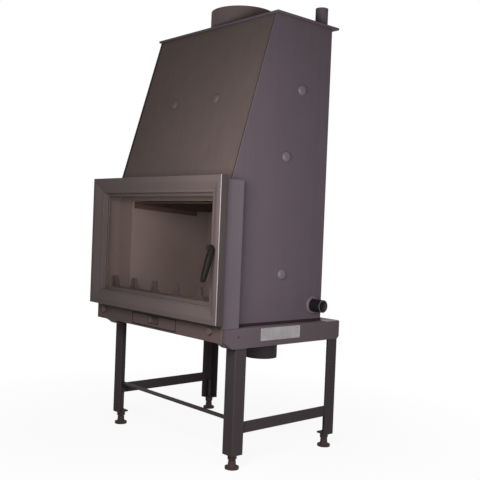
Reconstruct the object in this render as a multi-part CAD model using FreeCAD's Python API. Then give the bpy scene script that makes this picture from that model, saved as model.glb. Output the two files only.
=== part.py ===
import FreeCAD, Part
import math
import os

# Hydronic fireplace insert on an angle-iron stand.
# Millimetres. X to the right, Y back from the apron face, Z up from the floor.

V = FreeCAD.Vector
X_AXIS = V(1, 0, 0)
Y_AXIS = V(0, 1, 0)
Z_AXIS = V(0, 0, 1)

# Stand
STAND_HEIGHT = 494.0
RAIL_HEIGHT = 71.0
RAIL_SHEET = 4.0
RAIL_FOLD = 5.0
RAIL_FLANGE = 44.0
RAIL_FOOT = 54.0
REAR_SHELF = 74.0
FRONT_CUT_LENGTH = 57.0
FRONT_CUT_HEIGHT = 39.0
REAR_CUT = 10.0
RAIL_HOLE_RADIUS = 4.0
RAIL_HOLE_Y = 88.0
RAIL_HOLE_DROP = 31.0
LEG_SIDE = 50.0
LEG_WALL = 5.0
LEG_ROOT = 5.0
LEG_CORNER = 4.0
LEG_SETBACK = 80.0
LEG_BOTTOM = 50.0
STRETCHER_Z = 124.0
STRETCHER_HEIGHT = 40.0
STRETCHER_SHEET = 4.0
STRETCHER_LAP = 30.0
TIE_WIDTH = 30.0
TIE_THICK = 4.0
BASE_MARGIN = 4.0
BASE_THICK = 8.0
APRON_THICK = 4.0
APRON_DROP = 46.0
APRON_LIP = 3.0
APRON_SIDE = 11.0

# Levelling feet
FOOT_PLATE = 6.0
FOOT_DISC_RADIUS = 25.0
FOOT_DISC_THICK = 8.0
FOOT_NECK_RADIUS = 11.0
FOOT_NECK_HEIGHT = 24.0
FOOT_STEM_RADIUS = 8.0
FOOT_STEM_LENGTH = 130.0
NUT_FLATS = 24.0
NUT_HEIGHT = 13.0
THREAD_GAP = 0.3

# Body and water jacket
BODY_SHOULDER = 34.0
BODY_DEPTH = 451.0
HOOD_HEIGHT = 609.0
PANEL = 4.0
SLOPE_OVERLAP = 28.0
SLOPE_DEPTH = 180.0
SLOPE_RECESS = 3.0
SMOKE_BOX = 113.0
LINTEL = 73.0
TOP_THICK = 8.0
TOP_SIDE_LIP = 12.0
TOP_FRONT_LIP = 4.0
TOP_REAR_LIP = 26.0
FLUE_RADIUS = 125.0
FLUE_WALL = 3.0
FLUE_HEIGHT = 80.0
FLUE_LEDGE = 5.0
FLUE_FROM_REAR = 151.0
FLOW_RADIUS = 24.15
FLOW_WALL = 3.25
FLOW_ROOM = 1.85
FLOW_RISE = 69.0
FLOW_DIP = 30.0
FLOW_WELD_RADIUS = 28.0
FLOW_WELD_HEIGHT = 3.0
PIPE_FIT = 0.1
RETURN_FROM_REAR = 47.0
RETURN_RISE = 53.0
RETURN_LENGTH = 55.0
STAY_HEAD_RADIUS = 16.0
STAY_HEAD_HEIGHT = 4.0
STAY_LOW_RISE = 172.0
STAY_MIDDLE_RISE = 603.0
STAY_HIGH_RISE = 855.0
STAY_FROM_REAR = 222.0
STAY_HIGH_FROM_REAR = 154.0
STAY_SPREAD = 129.0
SLOPE_STAY_RISE = 313.0
SPIGOT_RADIUS = 62.5
SPIGOT_WALL = 2.5
SPIGOT_GAP = 4.5
SPIGOT_FROM_REAR = 192.0
SPIGOT_LENGTH = 142.0

# Mouth in front of the jacket
MOUTH_SHEET = 4.0
MOUTH_OVERHANG = 4.0
MOUTH_DEPTH = 90.0
MOUTH_HEIGHT = 480.0
SILL_RISE = 22.0

# Firebox
HEARTH_THICK = 6.0
GRATE_INSET = 2.0
GRATE_SETBACK = 94.0
GRATE_LENGTH = 220.0
GRATE_GAP = 2.0
GRATE_RIM = 12.0
GRATE_RIM_THICK = 5.0
GRATE_DEPTH = 14.0
GRATE_SLOTS = 11
GRATE_SLOT_WIDTH = 10.0
GRATE_BORDER = 16.0
GUARD_SETBACK = 36.0
GUARD_THICK = 12.0
GUARD_POSTS = 6
GUARD_POST = 39.0
GUARD_MARGIN = 13.0
GUARD_HEIGHT = 97.0
GUARD_BAND = 50.0
GUARD_NOTCH_CORNER = 34.0
GUARD_TIP = 6.0
BAFFLE_THICK = 5.0
BAFFLE_FLANGE = 20.0
BAFFLE_REAR_GAP = 66.0
BAFFLE_DROP = 22.0
BAFFLE_GAP = 4.0

# Ash drawer
DRAWER_HALF = 137.5
DRAWER_MARGIN = 8.0
DRAWER_FACE = 3.0
DRAWER_GAP = 1.0
TRAY_INSET = 5.5
TRAY_DEPTH = 407.0
TRAY_TOP_GAP = 2.0
TRAY_SHEET = 1.5
PULL_HALF = 27.5
PULL_HEIGHT = 22.0
PULL_DEPTH = 17.0
ASH_BOX_SHEET = 2.0
ASH_BOX_SIDE_GAP = 3.5
ASH_BOX_FLANGE = 15.0
ASH_BOX_REAR_GAP = 18.0

# Air controls
KNOB_INSET = 42.5
KNOB_DROP = 9.0
KNOB_RADIUS = 11.5
KNOB_LENGTH = 8.0
KNOB_STANDOFF = 2.0
ROD_RADIUS = 4.0
ROD_GAP = 0.3
SHUTTER_WIDTH = 51.0
SHUTTER_THICK = 3.0
SHUTTER_LENGTH = 36.0
SHUTTER_LEG_GAP = 2.0
SHUTTER_LAP = 4.0
SHUTTER_SIDE_LAP = 8.5
SHUTTER_GAP = 0.5
TAB_THICK = 3.0
TAB_BELOW_ROD = 7.0
GUIDE_WALL = 4.0
GUIDE_LIP = 5.0
GUIDE_LIP_THICK = 2.5

# Door
DOOR_HALF = 405.0
DOOR_SIDE_LAP = 21.0
DOOR_TOP_LAP = 11.0
DOOR_BOTTOM_LAP = 13.0
DOOR_THICK = 28.0
DOOR_EDGE = 3.0
RING_WIDTH = 20.0
BEVEL_WIDTH = 30.0
BEVEL_DEPTH = 14.0
LEDGE_WIDTH = 8.0
REVEAL_DEPTH = 38.0
REVEAL_WALL = 4.0
REVEAL_FLANGE = 8.0
LIP_WIDTH = 12.0
GROOVE_GAP = 1.0
GROOVE_DEPTH = 9.0
ROPE_WIDTH = 10.0
ROPE_PROUD = 3.0
GLASS_THICK = 4.0
GLASS_LAP = 6.0
TAPE_THICK = 2.0
TAPE_WIDTH = 6.0
CLIP_SHEET = 2.0
CLIP_WIDTH = 20.0
CLIP_REACH = 2.0
CLIP_SPREAD_X = 220.0
CLIP_SPREAD_Z = 110.0

# Door hinges
HINGE_INSET = 11.0
HINGE_SETBACK = 12.0
HINGE_RADIUS = 7.0
HINGE_PIN_RADIUS = 4.0
HINGE_FIT = 0.05
HINGE_EYE = 25.0
HINGE_KNUCKLE = 25.0
HINGE_THRUST_GAP = 0.3
HINGE_PIN_TIP = 2.0
HINGE_LOW_RISE = 89.0
HINGE_HIGH_DROP = 110.0
HINGE_STRAP_LENGTH = 44.0

# Handle and latch
SPINDLE_INSET = 41.0
SPINDLE_RISE = 7.0
SPINDLE_RADIUS = 6.0
SPINDLE_FIT = 0.1
BOSS_RADIUS = 13.0
BOSS_PROUD = 4.0
HUB_RADIUS = 11.0
HUB_LENGTH = 17.0
HUB_GAP = 0.3
GRIP_SIDE = 17.0
GRIP_PROUD = 11.0
GRIP_RISE = -3.0
GRIP_LEAN_SIDE = 4.0
GRIP_LEAN_OUT = 36.0
GRIP_DROP = 105.0
GRIP_RADIUS = 11.5
GRIP_TIP_RADIUS = 8.0
GRIP_TIP = 6.0
GRIP_CORE_RADIUS = 4.5
GRIP_CORE_SHORT = 20.0
NECK_RADIUS = 10.0
NECK_CAP = 3.0
NECK_LENGTH = 30.0
TONGUE_DEPTH = 17.0
TONGUE_THICK = 6.0
TONGUE_HALF = 5.0
TONGUE_GAP = 0.6
TONGUE_HUB_RADIUS = 7.5
KEEPER_GAP = 1.0
KEEPER_FOOT = 1.0
KEEPER_THICK = 6.0
KEEPER_HEIGHT = 24.0

# Widths from the middle plane
MOUTH_HALF = DOOR_HALF - DOOR_SIDE_LAP
MOUTH_INNER = MOUTH_HALF - MOUTH_SHEET
RAIL_HALF = MOUTH_HALF
RAIL_INNER = RAIL_HALF - RAIL_SHEET
RAIL_LIP = RAIL_INNER - RAIL_FLANGE
BODY_HALF = MOUTH_HALF - BODY_SHOULDER
BASE_HALF = BODY_HALF + BASE_MARGIN
PANEL_INNER = BODY_HALF - PANEL
JACKET = 2 * (FLOW_RADIUS + FLOW_ROOM)
WALL_OUTER = PANEL_INNER - JACKET
FIREBOX_HALF = WALL_OUTER - PANEL
FLOW_X = WALL_OUTER + JACKET / 2
TRAY_HALF = DRAWER_HALF - TRAY_INSET
GRATE_HALF = TRAY_HALF - GRATE_INSET
ASH_BOX_INNER = DRAWER_HALF + ASH_BOX_SIDE_GAP
ASH_BOX_OUTER = ASH_BOX_INNER + ASH_BOX_SHEET
ASH_BOX_WIDE = ASH_BOX_OUTER + ASH_BOX_FLANGE
SPIGOT_X = ASH_BOX_WIDE + SPIGOT_GAP + SPIGOT_RADIUS
KNOB_X = RAIL_INNER - KNOB_INSET
GUARD_HALF = MOUTH_INNER - GUARD_MARGIN
GUARD_PITCH = (2 * GUARD_HALF - GUARD_POST) / (GUARD_POSTS - 1)
GUARD_NOTCH_HALF = (GUARD_PITCH - GUARD_POST) / 2

# Levels from the floor
RAIL_TOP = STAND_HEIGHT
RAIL_BOTTOM = RAIL_TOP - RAIL_HEIGHT
TIE_Z = STRETCHER_Z + STRETCHER_HEIGHT
BASE_TOP = RAIL_TOP + BASE_THICK
APRON_TOP = BASE_TOP + APRON_LIP
APRON_BOTTOM = RAIL_TOP - APRON_DROP
DRAWER_BOTTOM = APRON_BOTTOM + DRAWER_MARGIN
DRAWER_TOP = APRON_TOP - DRAWER_MARGIN
ASH_BOX_FLOOR = DRAWER_BOTTOM
TRAY_TOP = RAIL_TOP - TRAY_TOP_GAP
PULL_TOP = RAIL_TOP - TRAY_TOP_GAP
KNOB_Z = RAIL_TOP - KNOB_DROP
SPIGOT_BOTTOM = RAIL_TOP - SPIGOT_LENGTH
SILL_TOP = BASE_TOP + SILL_RISE
SILL_BOTTOM = SILL_TOP - MOUTH_SHEET
MOUTH_TOP = SILL_TOP + MOUTH_HEIGHT
LINTEL_Z = MOUTH_TOP - LINTEL
BODY_TOP = MOUTH_TOP + HOOD_HEIGHT
TOP_FACE = BODY_TOP + TOP_THICK
JACKET_TOP = BODY_TOP - SMOKE_BOX
RETURN_Z = BASE_TOP + RETURN_RISE
SLOPE_STAY_Z = MOUTH_TOP + SLOPE_STAY_RISE
DOOR_BOTTOM = SILL_TOP - DOOR_BOTTOM_LAP
DOOR_TOP = MOUTH_TOP + DOOR_TOP_LAP
HINGE_LEVELS = [DOOR_BOTTOM + HINGE_LOW_RISE, DOOR_TOP - HINGE_HIGH_DROP]
SPINDLE_Z = (DOOR_BOTTOM + DOOR_TOP) / 2 + SPINDLE_RISE

# Depths from the apron face
MOUTH_FRONT = -MOUTH_OVERHANG
MOUTH_REAR = MOUTH_FRONT + MOUTH_DEPTH
RING_FRONT = MOUTH_REAR - MOUTH_SHEET
SLOPE_FOOT_Y = MOUTH_REAR - SLOPE_OVERLAP
SLOPE_HEAD_Y = SLOPE_FOOT_Y + SLOPE_DEPTH
LEAN = SLOPE_DEPTH / HOOD_HEIGHT
SLANT = math.hypot(1.0, LEAN)
BODY_REAR = MOUTH_REAR + BODY_DEPTH
BACK_REAR = BODY_REAR - JACKET
FIREBOX_REAR = BACK_REAR - PANEL
FLUE_Y = BODY_REAR - FLUE_FROM_REAR
FLOW_Y = BODY_REAR - PANEL - JACKET / 2
RETURN_Y = BODY_REAR - RETURN_FROM_REAR
SPIGOT_Y = BODY_REAR - SPIGOT_FROM_REAR
SIDE_STAYS = [
    (BODY_REAR - STAY_FROM_REAR, BASE_TOP + STAY_LOW_RISE),
    (BODY_REAR - STAY_FROM_REAR, BASE_TOP + STAY_MIDDLE_RISE),
    (BODY_REAR - STAY_HIGH_FROM_REAR, BASE_TOP + STAY_HIGH_RISE),
]
FRONT_CUT_END = APRON_THICK + FRONT_CUT_LENGTH
RAIL_LENGTH = BODY_REAR + REAR_SHELF
LEG_REAR = RAIL_LENGTH - RAIL_SHEET
FOOT_IN = LEG_SIDE / 2
GRATE_FRONT = MOUTH_REAR + GRATE_SETBACK
GRATE_REAR = GRATE_FRONT + GRATE_LENGTH
GUARD_Y = MOUTH_REAR - GUARD_SETBACK
SHUTTER_FRONT = LEG_SETBACK - SHUTTER_LEG_GAP - SHUTTER_LENGTH
DOOR_REAR = MOUTH_FRONT - ROPE_PROUD
DOOR_FRONT = DOOR_REAR - DOOR_THICK
BEVEL_INSET = RING_WIDTH + BEVEL_WIDTH
OPENING_INSET = BEVEL_INSET + LEDGE_WIDTH
FLANGE_INSET = OPENING_INSET - REVEAL_FLANGE
LIP_INSET = OPENING_INSET + LIP_WIDTH
REVEAL_REAR = DOOR_FRONT + REVEAL_DEPTH
GLASS_FRONT = REVEAL_REAR + TAPE_THICK
GLASS_REAR = GLASS_FRONT + GLASS_THICK
HINGE_X = HINGE_INSET - DOOR_HALF
HINGE_Y = DOOR_REAR + HINGE_SETBACK
SPINDLE_X = DOOR_HALF - SPINDLE_INSET
HUB_FRONT = DOOR_FRONT + BOSS_PROUD - HUB_GAP - HUB_LENGTH
TONGUE_REAR = DOOR_REAR + TONGUE_DEPTH
TONGUE_SWING = MOUTH_INNER - KEEPER_FOOT - TONGUE_GAP - SPINDLE_X
TONGUE_REACH = math.sqrt(TONGUE_SWING ** 2 - TONGUE_HALF ** 2)
GRIP_TOP = V(SPINDLE_X + GRIP_SIDE, DOOR_FRONT - GRIP_PROUD, SPINDLE_Z + GRIP_RISE)
GRIP_RUN = V(GRIP_LEAN_SIDE, -GRIP_LEAN_OUT, -GRIP_DROP)
GRIP_LENGTH = GRIP_RUN.Length
GRIP_TILT = math.hypot(GRIP_LEAN_SIDE, GRIP_DROP) / GRIP_LENGTH
GRIP_LIFT = GRIP_LEAN_OUT / GRIP_LENGTH
FRONT_REACH = GRIP_TOP.y - GRIP_LEAN_OUT - GRIP_TIP * GRIP_LIFT - GRIP_TIP_RADIUS * GRIP_TILT
Y_MIDDLE = (RAIL_LENGTH + FRONT_REACH) / 2


def block(x0, x1, y0, y1, z0, z1):
    """Flat plate or bar between two corners."""
    return Part.makeBox(x1 - x0, y1 - y0, z1 - z0, V(x0, y0, z0))


def outline(points):
    """Flat face inside a closed run of points."""
    corners = [V(*point) for point in points]
    return Part.Face(Part.makePolygon(corners + corners[:1]))


def across(profile, x0, x1):
    """Profile of (y, z) points drawn out along X."""
    return outline([(x0, y, z) for y, z in profile]).extrude(X_AXIS * (x1 - x0))


def along(profile, y0, y1):
    """Profile of (x, z) points drawn out along Y."""
    return outline([(x, y0, z) for x, z in profile]).extrude(Y_AXIS * (y1 - y0))


def upward(profile, z0, z1):
    """Profile of (x, y) points drawn out along Z."""
    return outline([(x, y, z0) for x, y in profile]).extrude(Z_AXIS * (z1 - z0))


def spun(profile, base, axis):
    """Profile of (radius, distance) points turned about an axis through base."""
    face = outline([(radius, 0, distance) for radius, distance in profile])
    solid = face.revolve(V(0, 0, 0), Z_AXIS, 360)
    turn = FreeCAD.Rotation(Z_AXIS, axis)
    solid.Placement = FreeCAD.Placement(base, turn)
    return solid


def rod(radius, base, axis, length):
    """Round bar from base along axis."""
    return Part.makeCylinder(radius, length, base, axis)


def mirrored(shape):
    """The same piece on the other side of the middle plane."""
    return shape.mirror(V(0, 0, 0), X_AXIS)


def rounded(shape, radius, rule):
    """Fillet on the edges whose middle meets the rule."""
    edges = [edge for edge in shape.Edges if rule(edge.CenterOfMass)]
    return shape.makeFillet(radius, edges)


def near(value, target):
    """True where two sizes agree."""
    return abs(value - target) < 0.01


def joined(first, others):
    """One solid from pieces that are welded or cast together."""
    return first.multiFuse(others).removeSplitter()


def door_rectangle(inset, y):
    """Corners of the door outline, moved in by an inset, at depth y."""
    half = DOOR_HALF - inset
    low = DOOR_BOTTOM + inset
    high = DOOR_TOP - inset
    return [V(-half, y, low), V(half, y, low), V(half, y, high), V(-half, y, high)]


def door_block(inset, y0, y1):
    """Block as large as the door outline moved in by an inset."""
    half = DOOR_HALF - inset
    return block(-half, half, y0, y1, DOOR_BOTTOM + inset, DOOR_TOP - inset)


def slope_y(z):
    """Depth of the sloped front at a height."""
    return SLOPE_FOOT_Y + LEAN * (z - MOUTH_TOP)


def inner_slope_y(z):
    """Depth of the water side of the inner slope at a height."""
    return MOUTH_REAR + LEAN * (z - LINTEL_Z)


def make_rail():
    """Right rail: folded channel with cut corners, a sloped front return, and notches for the legs."""
    web = across(
        [
            (APRON_THICK, RAIL_TOP),
            (APRON_THICK, RAIL_BOTTOM + FRONT_CUT_HEIGHT),
            (FRONT_CUT_END, RAIL_BOTTOM),
            (RAIL_LENGTH - REAR_CUT, RAIL_BOTTOM),
            (RAIL_LENGTH, RAIL_BOTTOM + REAR_CUT),
            (RAIL_LENGTH, RAIL_TOP),
        ],
        RAIL_INNER,
        RAIL_HALF,
    )
    flange = block(RAIL_LIP, RAIL_INNER, APRON_THICK, RAIL_LENGTH, RAIL_TOP - RAIL_SHEET, RAIL_TOP)
    rear = block(RAIL_LIP, RAIL_INNER, LEG_REAR, RAIL_LENGTH, RAIL_BOTTOM + REAR_CUT, RAIL_TOP)
    foot_lip = RAIL_INNER - RAIL_FOOT
    foot_top = RAIL_BOTTOM + RAIL_SHEET
    front = across(
        [
            (APRON_THICK, RAIL_BOTTOM + FRONT_CUT_HEIGHT),
            (FRONT_CUT_END, RAIL_BOTTOM),
            (LEG_SETBACK, RAIL_BOTTOM),
            (LEG_SETBACK, foot_top),
            (FRONT_CUT_END, foot_top),
            (APRON_THICK, foot_top + FRONT_CUT_HEIGHT),
        ],
        foot_lip,
        RAIL_INNER,
    )
    foot = block(
        foot_lip, RAIL_INNER, LEG_SETBACK + LEG_SIDE, LEG_REAR - LEG_SIDE, RAIL_BOTTOM, foot_top
    )
    rail = joined(web, [flange, rear, front, foot])
    rail = rounded(rail, RAIL_FOLD, lambda c: near(c.x, RAIL_HALF) and near(c.z, RAIL_TOP))
    hole_base = V(RAIL_INNER, RAIL_HOLE_Y, RAIL_TOP - RAIL_HOLE_DROP)
    return rail.cut(rod(RAIL_HOLE_RADIUS, hole_base, X_AXIS, RAIL_SHEET))


def leg_corner(side, rear):
    """Outer corner of a leg and the directions of its two flanges."""
    y = LEG_REAR if rear else LEG_SETBACK
    return side * RAIL_INNER, y, -side, -1 if rear else 1


def make_leg(side, rear):
    """Angle-iron leg inside the rail, with its corner turned outwards."""
    x, y, dx, dy = leg_corner(side, rear)
    inner_x = x + dx * LEG_WALL
    inner_y = y + dy * LEG_WALL
    profile = [
        (x, y),
        (x + dx * LEG_SIDE, y),
        (x + dx * LEG_SIDE, inner_y),
        (inner_x, inner_y),
        (inner_x, y + dy * LEG_SIDE),
        (x, y + dy * LEG_SIDE),
    ]
    leg = upward(profile, LEG_BOTTOM, RAIL_TOP - RAIL_SHEET)
    leg = rounded(leg, LEG_ROOT, lambda c: near(c.x, inner_x) and near(c.y, inner_y))
    return rounded(leg, LEG_CORNER, lambda c: near(c.x, x) and near(c.y, y))


def foot_axis(side, rear):
    """Place of a levelling foot under its leg."""
    x, y, dx, dy = leg_corner(side, rear)
    return x + dx * FOOT_IN, y + dy * FOOT_IN


def make_foot_plate(side, rear):
    """Plate inside the bottom of a leg, drilled for the foot."""
    x, y, dx, dy = leg_corner(side, rear)
    xs = sorted([x + dx * LEG_WALL, x + dx * (LEG_SIDE - LEG_WALL)])
    ys = sorted([y + dy * LEG_WALL, y + dy * (LEG_SIDE - LEG_WALL)])
    plate = block(xs[0], xs[1], ys[0], ys[1], LEG_BOTTOM, LEG_BOTTOM + FOOT_PLATE)
    root = (x + dx * LEG_WALL, y + dy * LEG_WALL)
    plate = plate.makeChamfer(
        LEG_ROOT,
        [e for e in plate.Edges if near(e.CenterOfMass.x, root[0]) and near(e.CenterOfMass.y, root[1])],
    )
    foot_x, foot_y = foot_axis(side, rear)
    hole = rod(FOOT_STEM_RADIUS + THREAD_GAP, V(foot_x, foot_y, LEG_BOTTOM), Z_AXIS, FOOT_PLATE)
    return plate.cut(hole)


def make_lock_nut(side, rear):
    """Hexagon nut that locks a foot against its leg."""
    foot_x, foot_y = foot_axis(side, rear)
    corner = NUT_FLATS / math.sqrt(3.0)
    turns = [math.radians(60 * step) for step in range(6)]
    hexagon = [(foot_x + corner * math.cos(t), foot_y + corner * math.sin(t)) for t in turns]
    nut = upward(hexagon, LEG_BOTTOM - NUT_HEIGHT, LEG_BOTTOM)
    bore_base = V(foot_x, foot_y, LEG_BOTTOM - NUT_HEIGHT)
    return nut.cut(rod(FOOT_STEM_RADIUS + THREAD_GAP, bore_base, Z_AXIS, NUT_HEIGHT))


def make_foot(side, rear):
    """Levelling foot: round disc, neck and stem."""
    foot_x, foot_y = foot_axis(side, rear)
    profile = [
        (0, 0),
        (FOOT_DISC_RADIUS, 0),
        (FOOT_DISC_RADIUS, FOOT_DISC_THICK),
        (FOOT_NECK_RADIUS, FOOT_DISC_THICK),
        (FOOT_NECK_RADIUS, FOOT_NECK_HEIGHT),
        (FOOT_STEM_RADIUS, FOOT_NECK_HEIGHT),
        (FOOT_STEM_RADIUS, FOOT_STEM_LENGTH),
        (0, FOOT_STEM_LENGTH),
    ]
    return spun(profile, V(foot_x, foot_y, 0), Z_AXIS)


def make_stretcher():
    """Right flat bar between the front and rear legs."""
    outer = RAIL_INNER - LEG_WALL
    y0 = LEG_SETBACK + LEG_SIDE - STRETCHER_LAP
    y1 = LEG_REAR - LEG_SIDE + STRETCHER_LAP
    return block(outer - STRETCHER_SHEET, outer, y0, y1, STRETCHER_Z, TIE_Z)


def make_tie_bar():
    """Flat bar laid across the stretchers behind the front legs."""
    half = RAIL_INNER - LEG_WALL
    y0 = LEG_SETBACK + LEG_SIDE - STRETCHER_LAP
    return block(-half, half, y0, y0 + TIE_WIDTH, TIE_Z, TIE_Z + TIE_THICK)


def shutter_left_edge():
    """Inner edge of the right air shutter."""
    return KNOB_X - ROD_RADIUS - 2 * GUIDE_WALL + SHUTTER_GAP - SHUTTER_WIDTH


def air_slot():
    """Slot in the base plate under the right end of the sill."""
    x0 = shutter_left_edge() + SHUTTER_SIDE_LAP
    x1 = shutter_left_edge() + SHUTTER_WIDTH - SHUTTER_SIDE_LAP
    y0 = SHUTTER_FRONT + SHUTTER_LAP
    y1 = SHUTTER_FRONT + SHUTTER_LENGTH - SHUTTER_LAP
    return block(x0, x1, y0, y1, RAIL_TOP, BASE_TOP)


def make_base_plate():
    """Plate under the body with a rear shelf, open under the grate, at the air slots and at the spigot."""
    plate = block(-BASE_HALF, BASE_HALF, APRON_THICK, BODY_REAR, RAIL_TOP, BASE_TOP)
    shelf_front = BODY_REAR - RAIL_SHEET
    shelf = block(-RAIL_LIP, RAIL_LIP, shelf_front, RAIL_LENGTH, RAIL_TOP - RAIL_SHEET, RAIL_TOP)
    ash_hole = block(-GRATE_HALF, GRATE_HALF, GRATE_FRONT, GRATE_REAR, RAIL_TOP, BASE_TOP)
    duct_base = V(SPIGOT_X, SPIGOT_Y, RAIL_TOP)
    duct_hole = rod(SPIGOT_RADIUS - SPIGOT_WALL, duct_base, Z_AXIS, BASE_THICK)
    return joined(plate, [shelf]).cut([ash_hole, duct_hole, air_slot(), mirrored(air_slot())])


def make_apron():
    """Front plate under the door, open for the ash drawer and the two air rods."""
    reach = RAIL_HALF + APRON_SIDE
    plate = block(-reach, reach, 0, APRON_THICK, APRON_BOTTOM, APRON_TOP)
    half = DRAWER_HALF + DRAWER_GAP
    drawer_hole = block(-half, half, 0, APRON_THICK, DRAWER_BOTTOM - DRAWER_GAP, DRAWER_TOP + DRAWER_GAP)
    rods = [rod(ROD_RADIUS + ROD_GAP, V(x, 0, KNOB_Z), Y_AXIS, APRON_THICK) for x in (-KNOB_X, KNOB_X)]
    return plate.cut([drawer_hole] + rods)


def make_mouth_side():
    """Right side plate of the mouth; its front edge presses into the door rope."""
    high = MOUTH_TOP - MOUTH_SHEET
    profile = [
        (MOUTH_FRONT, APRON_TOP),
        (APRON_THICK, APRON_TOP),
        (APRON_THICK, RAIL_TOP),
        (MOUTH_REAR, RAIL_TOP),
        (MOUTH_REAR, high),
        (MOUTH_FRONT, high),
    ]
    return across(profile, MOUTH_INNER, MOUTH_HALF)


def make_mouth_top():
    """Top plate of the mouth."""
    return block(-MOUTH_HALF, MOUTH_HALF, MOUTH_FRONT, MOUTH_REAR, MOUTH_TOP - MOUTH_SHEET, MOUTH_TOP)


def make_mouth_sill():
    """Sill of the mouth with a lip folded down to the base plate."""
    profile = [
        (MOUTH_FRONT, SILL_BOTTOM),
        (APRON_THICK, SILL_BOTTOM),
        (APRON_THICK, BASE_TOP),
        (APRON_THICK + MOUTH_SHEET, BASE_TOP),
        (APRON_THICK + MOUTH_SHEET, SILL_BOTTOM),
        (RING_FRONT, SILL_BOTTOM),
        (RING_FRONT, SILL_TOP),
        (MOUTH_FRONT, SILL_TOP),
    ]
    return across(profile, -MOUTH_INNER, MOUTH_INNER)


def make_jacket_ring():
    """Front of the jacket: a portal of sheet with the lintel over the fire."""
    high = MOUTH_TOP - MOUTH_SHEET
    profile = [
        (-MOUTH_INNER, BASE_TOP),
        (-MOUTH_INNER, high),
        (MOUTH_INNER, high),
        (MOUTH_INNER, BASE_TOP),
        (FIREBOX_HALF, BASE_TOP),
        (FIREBOX_HALF, LINTEL_Z),
        (-FIREBOX_HALF, LINTEL_Z),
        (-FIREBOX_HALF, BASE_TOP),
    ]
    return along(profile, RING_FRONT, MOUTH_REAR)


def stay_head(base, axis):
    """Low weld head where a stay of the jacket comes through a panel."""
    return rod(STAY_HEAD_RADIUS, base, axis, STAY_HEAD_HEIGHT)


def make_side_panel():
    """Outer side, cut along the sloped front, with three stay heads."""
    profile = [
        (MOUTH_REAR, BASE_TOP),
        (MOUTH_REAR, MOUTH_TOP),
        (SLOPE_FOOT_Y, MOUTH_TOP),
        (SLOPE_HEAD_Y, BODY_TOP),
        (BODY_REAR, BODY_TOP),
        (BODY_REAR, BASE_TOP),
    ]
    panel = across(profile, PANEL_INNER, BODY_HALF)
    return joined(panel, [stay_head(V(BODY_HALF, y, z), X_AXIS) for y, z in SIDE_STAYS])


def make_right_panel():
    """Right outer side, drilled for the return pipe."""
    bore = rod(FLOW_RADIUS - FLOW_WALL, V(PANEL_INNER, RETURN_Y, RETURN_Z), X_AXIS, PANEL)
    return make_side_panel().cut(bore)


def make_slope_panel():
    """Sloped front with two stay heads, set a little behind the edges of the side panels."""
    near_shift = SLOPE_RECESS * SLANT
    far_shift = (SLOPE_RECESS + PANEL) * SLANT
    profile = [
        (slope_y(MOUTH_TOP) + near_shift, MOUTH_TOP),
        (slope_y(BODY_TOP) + near_shift, BODY_TOP),
        (slope_y(BODY_TOP) + far_shift, BODY_TOP),
        (slope_y(MOUTH_TOP) + far_shift, MOUTH_TOP),
    ]
    panel = across(profile, -PANEL_INNER, PANEL_INNER)
    outward = V(0, -1, LEAN).normalize()
    face_y = slope_y(SLOPE_STAY_Z) + near_shift
    heads = [stay_head(V(x, face_y, SLOPE_STAY_Z), outward) for x in (-STAY_SPREAD, STAY_SPREAD)]
    return joined(panel, heads)


def make_rear_panel():
    """Outer back of the jacket."""
    return block(-PANEL_INNER, PANEL_INNER, BODY_REAR - PANEL, BODY_REAR, BASE_TOP, BODY_TOP)


def make_top_plate():
    """Top plate with lips, the pipe hole and a flue hole that leaves a ledge inside the collar."""
    half = BODY_HALF + TOP_SIDE_LIP
    y0 = SLOPE_HEAD_Y - TOP_FRONT_LIP
    y1 = BODY_REAR + TOP_REAR_LIP
    plate = block(-half, half, y0, y1, BODY_TOP, TOP_FACE)
    flue = rod(FLUE_RADIUS - FLUE_LEDGE, V(0, FLUE_Y, BODY_TOP), Z_AXIS, TOP_THICK)
    pipe = rod(FLOW_RADIUS + PIPE_FIT, V(FLOW_X, FLOW_Y, BODY_TOP), Z_AXIS, TOP_THICK)
    return plate.cut([flue, pipe])


def make_firebox_wall():
    """Right inner side of the jacket."""
    profile = [
        (MOUTH_REAR, BASE_TOP),
        (MOUTH_REAR, LINTEL_Z),
        (inner_slope_y(JACKET_TOP), JACKET_TOP),
        (BACK_REAR, JACKET_TOP),
        (BACK_REAR, BASE_TOP),
    ]
    return across(profile, FIREBOX_HALF, WALL_OUTER)


def make_firebox_back():
    """Inner back of the jacket."""
    return block(-FIREBOX_HALF, FIREBOX_HALF, FIREBOX_REAR, BACK_REAR, BASE_TOP, JACKET_TOP)


def make_firebox_slope():
    """Inner front of the jacket, leaning back with the outer slope."""
    shift = PANEL * SLANT
    profile = [
        (inner_slope_y(LINTEL_Z), LINTEL_Z),
        (inner_slope_y(JACKET_TOP), JACKET_TOP),
        (inner_slope_y(JACKET_TOP) + shift, JACKET_TOP),
        (inner_slope_y(LINTEL_Z) + shift, LINTEL_Z),
    ]
    return across(profile, -FIREBOX_HALF, FIREBOX_HALF)


def make_jacket_cap():
    """Ring plate that closes the top of the jacket around the smoke way."""
    high = JACKET_TOP + PANEL
    front = slope_y(high) + (SLOPE_RECESS + PANEL) * SLANT
    cap = block(-PANEL_INNER, PANEL_INNER, front, BODY_REAR - PANEL, JACKET_TOP, high)
    way_front = inner_slope_y(JACKET_TOP) + PANEL * SLANT
    way = block(-FIREBOX_HALF, FIREBOX_HALF, way_front, FIREBOX_REAR, JACKET_TOP, high)
    pipe = rod(FLOW_RADIUS + PIPE_FIT, V(FLOW_X, FLOW_Y, JACKET_TOP), Z_AXIS, PANEL)
    return cap.cut([way, pipe])


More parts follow.
